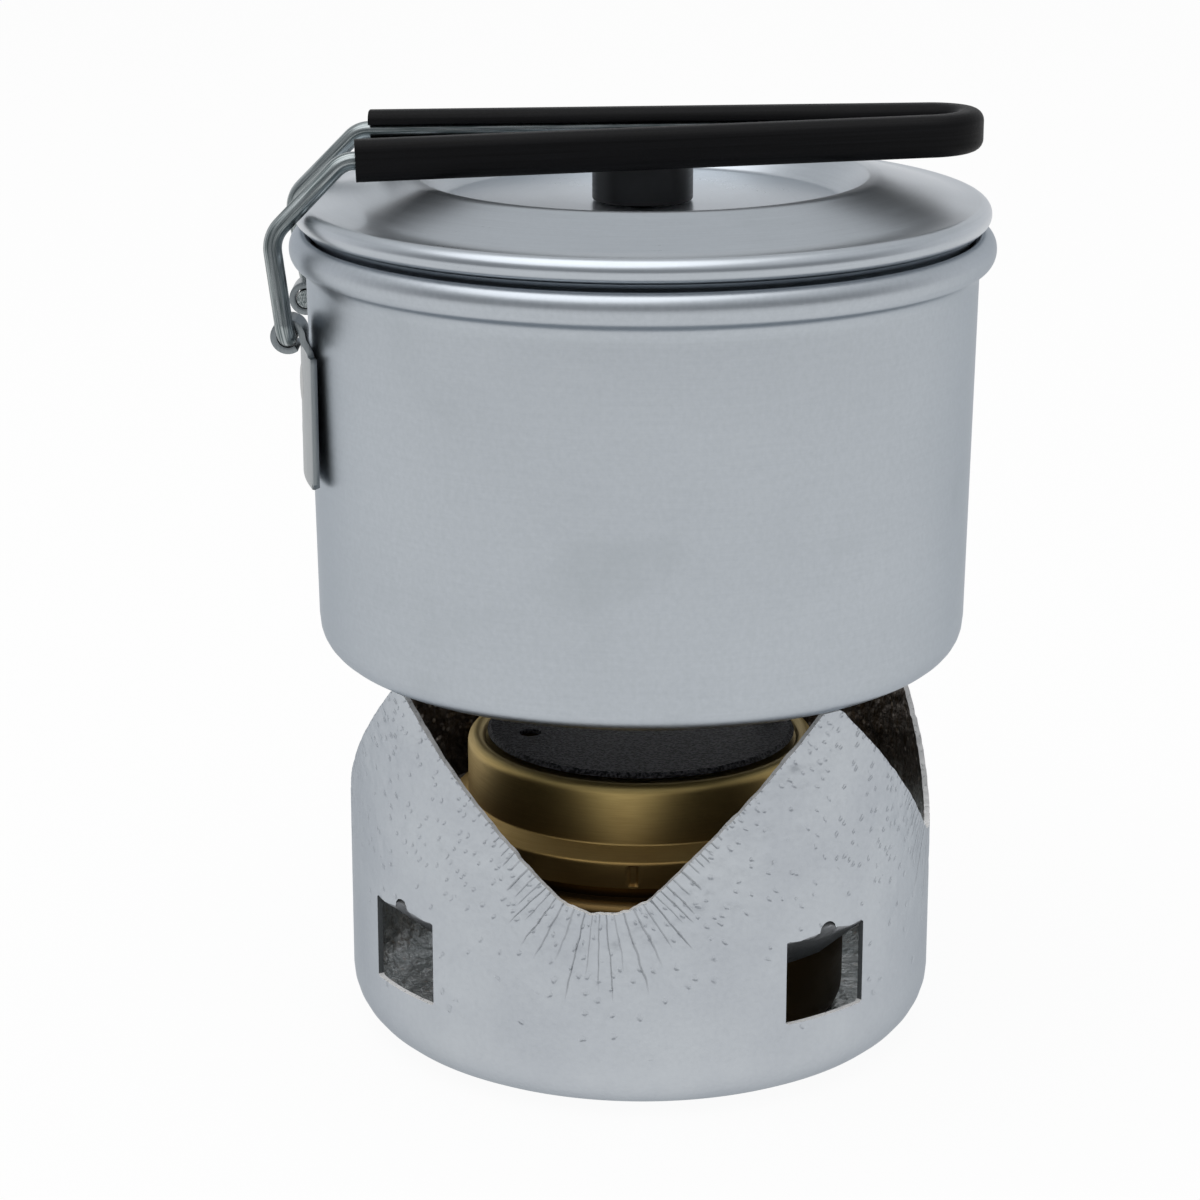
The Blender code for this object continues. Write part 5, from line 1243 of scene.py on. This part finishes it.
def make_bracket():
    """A curved plate whose upper edge has two ears, rolled into knuckles round the wire."""
    top, low = PIVOT_Z - BRACKET_TOP, PIVOT_Z - BRACKET_DROP
    roll = KNUCKLE_BORE + BRACKET_SHEET / 2
    marker = -PIVOT_OUT - 4 * roll
    section = [(marker, low + (top - low) * i / PLATE_ROWS) for i in range(PLATE_ROWS + 1)]
    section += [(marker, top + BRACKET_TOP * i / NECK_ROWS) for i in range(1, NECK_ROWS)]
    section += arc((-PIVOT_OUT, PIVOT_Z), roll, roll, 0, ROLL_SWEEP, ROLL_ROWS)
    plate = draw("rolled_bracket", [(x, -BRACKET_HALF, z) for x, z in section])
    stops = [(BRACKET_HALF, 2), (KNUCKLE_OUT, 7), (KNUCKLE_IN, 13)]
    stations = []
    for (outer, steps), (inner, _) in zip(stops, stops[1:] + [(0.0, 0)]):
        stations += [outer + (inner - outer) * i / steps for i in range(steps)]
    stations = [-s for s in stations] + [0.0] + list(reversed(stations))
    edit(plate)
    for here, there in zip(stations, stations[1:]):
        bpy.ops.mesh.extrude_region_move(TRANSFORM_OT_translate={"value": (0.0, there - here, 0.0)})
    leave()
    middle, _, _ = face_places(plate)
    ear = (np.abs(middle[:, 1]) > KNUCKLE_IN) & (np.abs(middle[:, 1]) < KNUCKLE_OUT)
    edit_faces(plate, (middle[:, 2] > top) & ~ear)
    bpy.ops.mesh.delete(type="FACE")
    leave()
    spots = places_of(plate)
    x, side, height = spots[:, 0], spots[:, 1], spots[:, 2]
    up = np.clip((height - top) / BRACKET_TOP, 0, 1)
    up = up * up * (3 - 2 * up)
    bent = plate_at(side) * (1 - up) + (roll - PIVOT_OUT) * up
    spots[:, 0] = np.where(np.abs(x - marker) < TIDY, bent, x)
    straight = BRACKET_HALF - BRACKET_EDGE
    from_foot = np.clip(low + BRACKET_EDGE - height, 0, BRACKET_EDGE)
    share = np.sqrt(BRACKET_EDGE ** 2 - from_foot ** 2) / BRACKET_EDGE
    outer = straight + (np.abs(side) - straight) * share
    spots[:, 1] = np.where(np.abs(side) > straight, np.copysign(outer, side), side)
    put_back(plate, spots)
    edit(plate)
    bpy.ops.mesh.remove_doubles(threshold=TIDY)
    bpy.ops.mesh.normals_make_consistent(inside=False)
    leave()
    modify(plate, "SOLIDIFY", thickness=BRACKET_SHEET, offset=0.0, use_even_offset=True)
    drill(plate, rivet_places(), RIVET_RADIUS + GAP, 10 * MM)
    modify(plate, "BEVEL", width=0.15 * MM, segments=2, limit_method="ANGLE", angle_limit=radians(50))
    return dress(plate, SHEET_STEEL, "pot", "stainless_sheet", "handle_bracket")


def make_bracket_rivets():
    """Rivets with a flat head on the plate and a thicker tail inside the pot."""
    for i, (centre, out) in enumerate(rivet_places()):
        head = BRACKET_BEND + BRACKET_SHEET - hypot(centre.x - bracket_centre(), centre.y)
        tail = -POT_SHEET - GAP - RIVET_HEAD_RADIUS ** 2 / (2 * POT_BASE_RADIUS)
        end = tail - RIVET_TAIL_HEIGHT
        profile = arc((0.0, head), RIVET_HEAD_RADIUS, RIVET_HEAD_HEIGHT, 90, 6, 2 * EDGE_STEPS)
        profile += softened([(RIVET_HEAD_RADIUS, head, 0), (RIVET_RADIUS, head, 0),
                             (RIVET_RADIUS, tail, 0), (RIVET_HEAD_RADIUS, tail, 0),
                             (RIVET_HEAD_RADIUS, end, 0.4 * MM), (0.0, end, 0)])
        rivet = settle(lathe(f"flat_rivet_{i + 1}", profile, SMALL_SIDES), centre, out)
        dress(rivet, PLATED_STEEL, "pot", "steel_hardware", f"bracket_rivet_{i + 1}")


# Folding handle
def loop_half(reach):
    """Half the loop's width at a distance from the pivot: it passes the knob, and narrows to the nose."""
    far = LOOP_REACH - NOSE_RADIUS
    at_knob = KNOB_RADIUS + KNOB_SIDE_GAP + SLEEVE_WIDTH / 2
    return NOSE_RADIUS + (at_knob - NOSE_RADIUS) * (far - reach) / (far - PIVOT_OUT)


def loop_point(reach, half=None):
    """A point of the loop's wire on the near side, at a distance from the pivot."""
    height = ELBOW_Z + LOOP_TILT * (reach - ELBOW_IN) / (LOOP_REACH - ELBOW_IN)
    return Vector((reach - PIVOT_OUT, -(loop_half(reach) if half is None else half), height))


def nose_points():
    """The turn at the loop's far end, from the near side to the far side."""
    points = []
    for i in range(NOSE_STEPS + 1):
        a = pi * i / NOSE_STEPS
        points.append(loop_point(LOOP_REACH - NOSE_RADIUS * (1 - sin(a)), NOSE_RADIUS * cos(a)))
    return points


def mirrored(points):
    """The same points on the far side, in reverse."""
    return [Vector((p.x, -p.y, p.z)) for p in reversed(points)]


def closed_outline(name, points):
    """A closed curve through points, for a tube's cross-section."""
    piece = draw(name, [(x, y, 0.0) for x, y in points + points[:1]])
    edit(piece)
    bpy.ops.mesh.remove_doubles(threshold=TIDY)
    leave()
    bpy.ops.object.convert(target="CURVE")
    return bpy.context.active_object


def tube(name, points, radius=0.0, section=None):
    """A tube along points, round or with a section, that keeps where each vertex is in its run."""
    piece = draw(name, points)
    bpy.ops.object.convert(target="CURVE")
    piece = bpy.context.active_object
    first = Vector(piece.data.splines[0].points[0].co[:3])
    if (first - points[0]).length > (first - points[-1]).length:
        bpy.ops.object.mode_set(mode="EDIT")
        bpy.ops.curve.select_all(action="SELECT")
        bpy.ops.curve.switch_direction()
        leave()
    curve = piece.data
    curve.use_fill_caps = True
    curve.bevel_depth = radius
    curve.bevel_resolution = WIRE_FACETS
    if section:
        curve.twist_mode = "Z_UP"
        curve.bevel_mode = "OBJECT"
        curve.bevel_object = section
    bpy.ops.object.convert(target="MESH")
    piece = bpy.context.active_object
    if section:
        bpy.data.objects.remove(section, do_unlink=True)
    edit(piece)
    bpy.ops.mesh.remove_doubles(threshold=TIDY)
    bpy.ops.mesh.normals_make_consistent(inside=False)
    leave()
    mark_run(piece, points)
    return piece


def mark_run(piece, points):
    """Keeps each vertex's place round the tube, and along it in metres, for streaks that follow it."""
    finder, stops, total = [], [], 0.0
    across = Vector((0.0, 0.0, 1.0))
    for here, there in zip(points, points[1:]):
        ahead = (there - here).normalized()
        across = (across - ahead * across.dot(ahead)).normalized()
        steps = max(1, round((there - here).length / (0.4 * MM)))
        for i in range(steps):
            finder.append(here.lerp(there, i / steps))
            stops.append((total + (there - here).length * i / steps, ahead, across))
        total += (there - here).length
    tree = KDTree(len(finder))
    for i, point in enumerate(finder):
        tree.insert(point, i)
    tree.balance()
    runs = []
    for vertex in piece.data.vertices:
        point, i, _ = tree.find(vertex.co)
        length, ahead, across = stops[i]
        off = (vertex.co - point) / WIRE_RADIUS
        runs.append((off.dot(across), off.dot(ahead.cross(across)), length))
    store(piece, "run", "FLOAT_VECTOR", "POINT", runs)


def make_wire():
    """One bent wire: ends in the knuckles, two legs, and a loop that narrows to a round nose."""
    end = Vector((-PIVOT_OUT, WIRE_STUB - KNUCKLE_IN, PIVOT_Z))
    foot = Vector((-PIVOT_OUT, -LEG_SPREAD, PIVOT_Z))
    elbow = loop_point(ELBOW_IN)
    share = KNEE_RISE / (ELBOW_Z - PIVOT_Z)
    knee_side = LEG_SPREAD + (loop_half(ELBOW_IN) - LEG_SPREAD) * share
    knee = Vector((-PIVOT_OUT - KNEE_OUT, -knee_side, PIVOT_Z + KNEE_RISE))
    nose = nose_points()
    route = [end] + rounded(foot, end, knee, LEG_TURN, BEND_STEPS)
    route += rounded(knee, foot, elbow, KNEE_RADIUS, BEND_STEPS)
    route += rounded(elbow, knee, nose[0], ELBOW_RADIUS, BEND_STEPS)
    wire = tube("bent_wire", route + nose + mirrored(route), WIRE_RADIUS)
    return dress(wire, GALVANISED_WIRE, "handle", "galvanised_wire", "handle_wire")


def make_sleeve():
    """A split sleeve pushed over the loop, with its slot facing the inside of the loop."""
    tall, wide, lip = SLEEVE_HEIGHT / 2, SLEEVE_WIDTH / 2, SLEEVE_SLOT / 2
    mouth = degrees(asin(lip / SLEEVE_BORE))
    channel = arc((0.0, 0.0), SLEEVE_BORE, SLEEVE_BORE, -mouth, mouth - 360, 3 * EDGE_STEPS)
    outline = softened([(*channel[-1], 0), (wide, lip, 0.3 * MM), (wide, tall, SLEEVE_EDGE),
                        (-wide, tall, SLEEVE_EDGE), (-wide, -tall, SLEEVE_EDGE), (wide, -tall, SLEEVE_EDGE),
                        (wide, -lip, 0.3 * MM), (*channel[0], 0)])
    section = closed_outline("sleeve_section", [(-x, y) for x, y in outline + channel[1:-1]])
    route = [loop_point(SLEEVE_START)]
    sleeve = tube("split_sleeve", route + nose_points() + mirrored(route), section=section)
    return dress(sleeve, SLEEVE_RUBBER, "handle", "black_sleeve", "handle_grip")


# Spirit burner
def step_line(radius):
    """Height of the underside of the simmer ring's step at a radius."""
    outer, inner = RING_SKIRT_RADIUS - RING_SHEET, RING_BARREL_RADIUS - RING_SHEET
    return STEP_FOOT + RING_STEP_RISE * (outer - radius) / (outer - inner)


def make_tank():
    """The fuel tank: a drawn cup whose edge is turned in over the crown's flange."""
    sheet = BRASS_SHEET
    corner = (TANK_RADIUS - TANK_CORNER, TANK_FOOT + TANK_CORNER)
    turn = (TANK_RADIUS - TANK_SHOULDER, TANK_TOP - TANK_SHOULDER)
    lip = COLLAR_RADIUS + GAP
    profile = [(0.0, TANK_FOOT + sheet), (FLOOR_RING, TANK_FOOT + sheet)]
    profile += arc(corner, TANK_CORNER - sheet, TANK_CORNER - sheet, -90, 0, EDGE_STEPS)
    profile += arc(turn, TANK_SHOULDER - sheet, TANK_SHOULDER - sheet, 0, 90, EDGE_STEPS)
    profile += [(lip, TANK_TOP - sheet), (lip, TANK_TOP)]
    profile += arc(turn, TANK_SHOULDER, TANK_SHOULDER, 90, 0, EDGE_STEPS)
    profile += arc(corner, TANK_CORNER, TANK_CORNER, 0, -90, EDGE_STEPS)
    tank = lathe("drawn_tank", profile + [(FLOOR_RING, TANK_FOOT), (0.0, TANK_FOOT)])
    return dress(tank, TANK_BRASS, "burner", "satin_brass", "burner_tank")


def make_crown():
    """The burner's upper pressing: flange, threaded collar, sloping shoulder and a wall with jets."""
    sheet, collar, wall = BRASS_SHEET, COLLAR_RADIUS, JET_WALL_RADIUS
    slant = GAP * sqrt(1.0 + (RING_STEP_RISE / (RING_SKIRT_RADIUS - RING_BARREL_RADIUS)) ** 2)
    flange, flange_top = TANK_RADIUS - TANK_SHOULDER, TANK_TOP - sheet - GAP
    shelf = step_line(RING_BARREL_RADIUS - RING_SHEET) - slant
    shelf_edge = RING_BARREL_RADIUS - RING_SHEET - 2 * GAP
    shoulder = step_line(collar) - slant
    bend = (wall - CROWN_EDGE, CROWN_TOP - CROWN_EDGE)
    profile = arc(bend, CROWN_EDGE, CROWN_EDGE, 180, 0, 2 * EDGE_STEPS)
    profile += softened([(wall, shelf + 1 * MM, 0), (wall, shelf, 0.4 * MM), (shelf_edge, shelf, 0.5 * MM),
                         (collar, shoulder, 0.4 * MM), (collar, shoulder - 0.6 * MM, 0)])
    thread_top = shoulder - THREAD_PITCH / 2
    for turn in range(THREAD_TURNS):
        peak = thread_top - THREAD_PITCH * turn
        profile += [(collar - THREAD_HEIGHT, peak), (collar, peak - THREAD_PITCH / 2)]
    profile += [(collar - THREAD_HEIGHT, thread_top - THREAD_PITCH * THREAD_TURNS)]
    profile += [(collar - THREAD_HEIGHT, flange_top), (flange, flange_top), (flange, flange_top - sheet)]
    inside = collar - THREAD_HEIGHT - sheet
    profile += [(inside, flange_top - sheet), (inside, shoulder - sheet)]
    profile += [(shelf_edge, shelf - sheet), (wall - sheet, shelf - sheet)]
    profile += arc(bend, CROWN_EDGE - sheet, CROWN_EDGE - sheet, 0, 180, EDGE_STEPS)
    skirt = bend[0] - CROWN_EDGE
    profile += [(skirt + sheet, CROWN_TOP - CROWN_SKIRT), (skirt, CROWN_TOP - CROWN_SKIRT)]
    crown = lathe("pressed_crown", profile, ring=True)
    height = (shelf + CROWN_TOP - CROWN_EDGE) / 2
    jets = [(polar(wall, b, height), polar(1.0, b)) for b in ring_of(JET_COUNT, 180.0 / JET_COUNT)]
    drill(crown, jets, JET_RADIUS, 3 * sheet, SMALL_SIDES // 4)
    return dress(crown, TANK_BRASS, "burner", "satin_brass", "burner_crown")


def make_well():
    """The open well in the middle, hung from the crown by its edge, with feed holes at its foot."""
    foot, seat = TANK_FOOT + BRASS_SHEET + GAP, CROWN_TOP + GAP
    inside, reach = WELL_RADIUS - BRASS_SHEET, WELL_RADIUS + CUP_FLANGE
    profile = softened([(inside, foot, 0), (inside, seat + BRASS_SHEET, 0.9 * MM),
                        (reach, seat + BRASS_SHEET, 0.3 * MM), (reach, seat, 0), (WELL_RADIUS, seat, 0),
                        (WELL_RADIUS, foot, 0)])
    well = lathe("pressed_well", profile, ring=True)
    feeds = [(polar(WELL_RADIUS, b, foot + FEED_HEIGHT), polar(1.0, b))
             for b in ring_of(FEED_COUNT, 180.0 / FEED_COUNT)]
    drill(well, feeds, FEED_RADIUS, 5 * BRASS_SHEET, SMALL_SIDES // 2)
    return dress(well, TANK_BRASS, "burner", "satin_brass", "burner_inner_cup")


# Simmer ring and shutter
def make_simmer_ring():
    """A stepped pressing on the collar's shoulder, with dimples, a beaded top and an open middle."""
    sheet, skirt, barrel = RING_SHEET, RING_SKIRT_RADIUS, RING_BARREL_RADIUS
    bead = (barrel - RING_BEAD, RING_CREST - RING_BEAD)
    flange = RING_FLANGE_TOP
    dip = barrel - 2 * RING_BEAD
    foot, low = STEP_FOOT, SKIRT_EDGE
    profile = [(RING_MOUTH_RADIUS, flange), (dip - 1.0 * MM, flange)]
    profile += arc(bead, RING_BEAD, RING_BEAD, 155, 0, BEAD_STEPS)
    profile += softened([(barrel, bead[1] - 1 * MM, 0), (barrel, STEP_TOP, 0.5 * MM),
                         (skirt, foot, 0.7 * MM), (skirt, foot - 0.8 * MM, 0)])
    drops = [0.8 * MM + (foot - low - 0.8 * MM) * i / SKIRT_ROWS for i in range(1, SKIRT_ROWS + 1)]
    profile += [(skirt, foot - drop) for drop in drops]
    profile += [(skirt - sheet, foot - drop) for drop in reversed(drops)]
    profile += [(skirt - sheet, foot), (barrel - sheet, STEP_TOP)]
    profile += arc(bead, RING_BEAD - sheet, RING_BEAD - sheet, 0, 90, EDGE_STEPS)
    profile += [(dip - 1.0 * MM, flange - sheet), (RING_MOUTH_RADIUS, flange - sheet)]
    ring = lathe("stepped_ring", profile, RING_SIDES, ring=True)
    spots = places_of(ring)
    bearing = np.degrees(np.arctan2(spots[:, 0], -spots[:, 1])) - DIMPLE_BEARING
    step = 360.0 / DIMPLE_COUNT
    side = skirt * np.radians(bearing - step * np.round(bearing / step))
    rise = np.abs(spots[:, 2] - low - RING_SKIRT_HEIGHT / 2) - DIMPLE_HEIGHT / 2 + DIMPLE_HALF
    reach = np.hypot(side, np.maximum(rise, 0)) / (DIMPLE_HALF * 1.15)
    radius = np.hypot(spots[:, 0], spots[:, 1])
    on_skirt = (radius > skirt - sheet - TIDY) & (spots[:, 2] < foot - 0.5 * MM)
    depth = DIMPLE_DEPTH * np.clip(2.2 * (1 - reach ** 2), 0, 1) * on_skirt
    spots[:, :2] *= (1 - depth / radius)[:, None]
    put_back(ring, spots)
    pivot = polar(SHUTTER_PIVOT, SHUTTER_BEARING, flange)
    drill(ring, [(pivot, (0, 0, 1))], PIVOT_RIVET_RADIUS + GAP, 6 * MM)
    return dress(ring, RING_BRASS, "simmer_ring", "satin_brass", "simmer_ring")


def make_shutter():
    """A coated disc that swings over the ring's mouth on a rivet, with a small hole to push it by."""
    low, high = SHUTTER_UNDERSIDE, SHUTTER_UNDERSIDE + SHUTTER_SHEET
    profile = softened([(0.0, high, 0), (SHUTTER_RADIUS - SHUTTER_BEVEL, high, 0.25 * MM),
                        (SHUTTER_RADIUS, low, 0.06 * MM), (0.0, low, 0)])
    shutter = lathe("coated_shutter", profile)
    upright = (0, 0, 1)
    drill(shutter, [(polar(SHUTTER_PIVOT, SHUTTER_BEARING, low), upright)], PIVOT_RIVET_RADIUS + GAP, 6 * MM)
    drill(shutter, [(polar(PULL_HOLE_OUT, SHUTTER_BEARING + 180, low), upright)], PULL_HOLE_RADIUS, 6 * MM)
    return dress(shutter, BLACK_COAT, "shutter", "black_coat", "simmer_shutter")


def make_shutter_pivot():
    """The rivet that the shutter swings on, and the washer that carries the shutter over the flange."""
    head = SHUTTER_UNDERSIDE + SHUTTER_SHEET + GAP
    tail = RING_FLANGE_TOP - RING_SHEET - GAP
    shank, rim = PIVOT_RIVET_RADIUS, PIVOT_RIVET_HEAD
    end = tail - PIVOT_RIVET_DOME
    place = polar(SHUTTER_PIVOT, SHUTTER_BEARING)
    profile = arc((0.0, head), rim, PIVOT_RIVET_DOME, 90, 6, 2 * EDGE_STEPS)
    profile += softened([(rim, head, 0), (shank, head, 0), (shank, tail, 0), (rim, tail, 0),
                         (rim, end, 0.4 * MM), (0.0, end, 0)])
    rivet = settle(lathe("pivot_rivet", profile, SMALL_SIDES), place)
    dress(rivet, PLATED_STEEL, "simmer_ring", "steel_hardware", "shutter_rivet")
    under, top = RING_FLANGE_TOP + GAP, SHUTTER_UNDERSIDE - GAP
    bore = shank + GAP
    profile = [(PIVOT_WASHER_RADIUS, top), (PIVOT_WASHER_RADIUS, under), (bore, under), (bore, top)]
    washer = settle(lathe("pivot_washer", profile, SMALL_SIDES, ring=True), place)
    dress(washer, PLATED_STEEL, "simmer_ring", "steel_hardware", "shutter_washer")


# Studio
def light_path(tree):
    """1 for rays from the camera, and for those that metal or glass sends on."""
    rays = add(tree, "ShaderNodeLightPath")
    seen = add(tree, "ShaderNodeMath", {"operation": "ADD"}, {
        0: rays.outputs["Is Camera Ray"], 1: rays.outputs["Is Glossy Ray"]}).outputs[0]
    return add(tree, "ShaderNodeMath", {"operation": "ADD", "use_clamp": True}, {
        0: seen, 1: rays.outputs["Is Transmission Ray"]}).outputs[0]


def make_surroundings():
    """A white surround that lights the cooker at a plain level."""
    world = bpy.data.worlds.new("white_surround")
    world.use_nodes = True
    tree = world.node_tree
    level = add(tree, "ShaderNodeMapRange", inputs={
        "Value": light_path(tree), "To Min": SURROUND_LEVEL, "To Max": 1.0}).outputs[0]
    background = tree.nodes["Background"]
    background.inputs["Color"].default_value = paint("#FFFFFF")
    tree.links.new(level, background.inputs["Strength"])
    bpy.context.scene.world = world


def make_floor():
    """A white floor that stays white to the camera and keeps a soft shadow."""
    bpy.ops.object.select_all(action="DESELECT")
    bpy.ops.mesh.primitive_plane_add(size=FLOOR_SIZE, location=(0.0, 0.0, 0.0))
    floor = bpy.context.active_object
    floor.name = "studio_floor"
    look, tree, shader = start("white_floor_paint", "#F2F2F2", 0.0, 0.9)
    glow = add(tree, "ShaderNodeEmission", inputs={"Color": paint("#FFFFFF"), "Strength": 1.0}).outputs[0]
    share = add(tree, "ShaderNodeMath", {"operation": "MULTIPLY"}, {
        0: light_path(tree), 1: 1.0 - SHADOW_SHARE}).outputs[0]
    mixed = add(tree, "ShaderNodeMixShader", inputs={0: share, 1: shader.outputs[0], 2: glow}).outputs[0]
    tree.links.new(mixed, tree.nodes["Material Output"].inputs["Surface"])
    floor.data.materials.append(look)


def make_flag():
    """A grey screen all round that shows only in the metal: darkest low down in front."""
    points = [(FLAG_DISTANCE * cos(radians(a)), FLAG_DISTANCE * sin(radians(a))) for a in FLAG_ANGLES]
    flag = lathe("grey_screen", points, SMALL_SIDES)
    look = bpy.data.materials.new("grey_screen_cloth")
    look.use_nodes = True
    tree = look.node_tree
    spot = add(tree, "ShaderNodeTexCoord").outputs["Object"]
    spot = add(tree, "ShaderNodeVectorMath", {"operation": "SCALE"}, {
        0: spot, "Scale": 1 / FLAG_DISTANCE}).outputs[0]
    spot = add(tree, "ShaderNodeSeparateXYZ", inputs={0: spot})
    sides = []
    for tones in (FRONT_TONES, BACK_TONES):
        tone = add(tree, "ShaderNodeValToRGB", inputs={0: spot.outputs["Z"]})
        tone.color_ramp.elements[0].position, tone.color_ramp.elements[0].color = tones[0]
        tone.color_ramp.elements[1].position, tone.color_ramp.elements[1].color = tones[-1]
        for position, colour in tones[1:-1]:
            tone.color_ramp.elements.new(position).color = colour
        sides.append(tone.outputs[0])
    behind = add(tree, "ShaderNodeMapRange", {"interpolation_type": "SMOOTHSTEP"}, {
        "Value": spot.outputs["Y"], "From Min": -0.4, "From Max": 0.4}).outputs[0]
    colour = add(tree, "ShaderNodeMix", {"data_type": "RGBA"}, {
        0: behind, 6: sides[0], 7: sides[1]}).outputs[2]
    glow = add(tree, "ShaderNodeEmission", inputs={"Color": colour, "Strength": 1.0}).outputs[0]
    tree.links.new(glow, tree.nodes["Material Output"].inputs["Surface"])
    flag.data.materials.append(look)
    flag.visible_camera = False
    flag.visible_diffuse = False
    flag.visible_transmission = False
    flag.visible_shadow = False


def add_lamp(name, location, size, power):
    """A soft lamp that faces the cooker."""
    bpy.ops.object.light_add(type="AREA", location=location)
    lamp = bpy.context.active_object
    lamp.name = name
    towards = Vector((0.0, 0.0, LAMP_AIM)) - Vector(location)
    lamp.rotation_euler = towards.to_track_quat("-Z", "Y").to_euler()
    lamp.data.shape = "DISK"
    lamp.data.size = size
    lamp.data.energy = power


def add_camera():
    """The camera, solved from the photograph's turned outlines."""
    bpy.ops.object.camera_add(location=CAMERA_PLACE, rotation=[radians(a) for a in CAMERA_TURN])
    camera = bpy.context.active_object
    camera.data.lens = CAMERA_LENS
    camera.data.sensor_width = 36.0
    bpy.context.scene.camera = camera


make_windshield()
make_pot()
make_lid()
make_knob()
make_bracket()
make_bracket_rivets()
make_wire()
make_sleeve()
make_tank()
make_crown()
make_well()
make_simmer_ring()
make_shutter()
make_shutter_pivot()
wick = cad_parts["burner_wick"]
wick.data.materials.clear()
wick.data.materials.append(COTTON)

make_surroundings()
make_floor()
make_flag()
add_lamp("overhead_lamp", LAMP_PLACE, LAMP_SIZE, LAMP_POWER)
add_camera()
bpy.context.scene.view_settings.view_transform = "Standard"
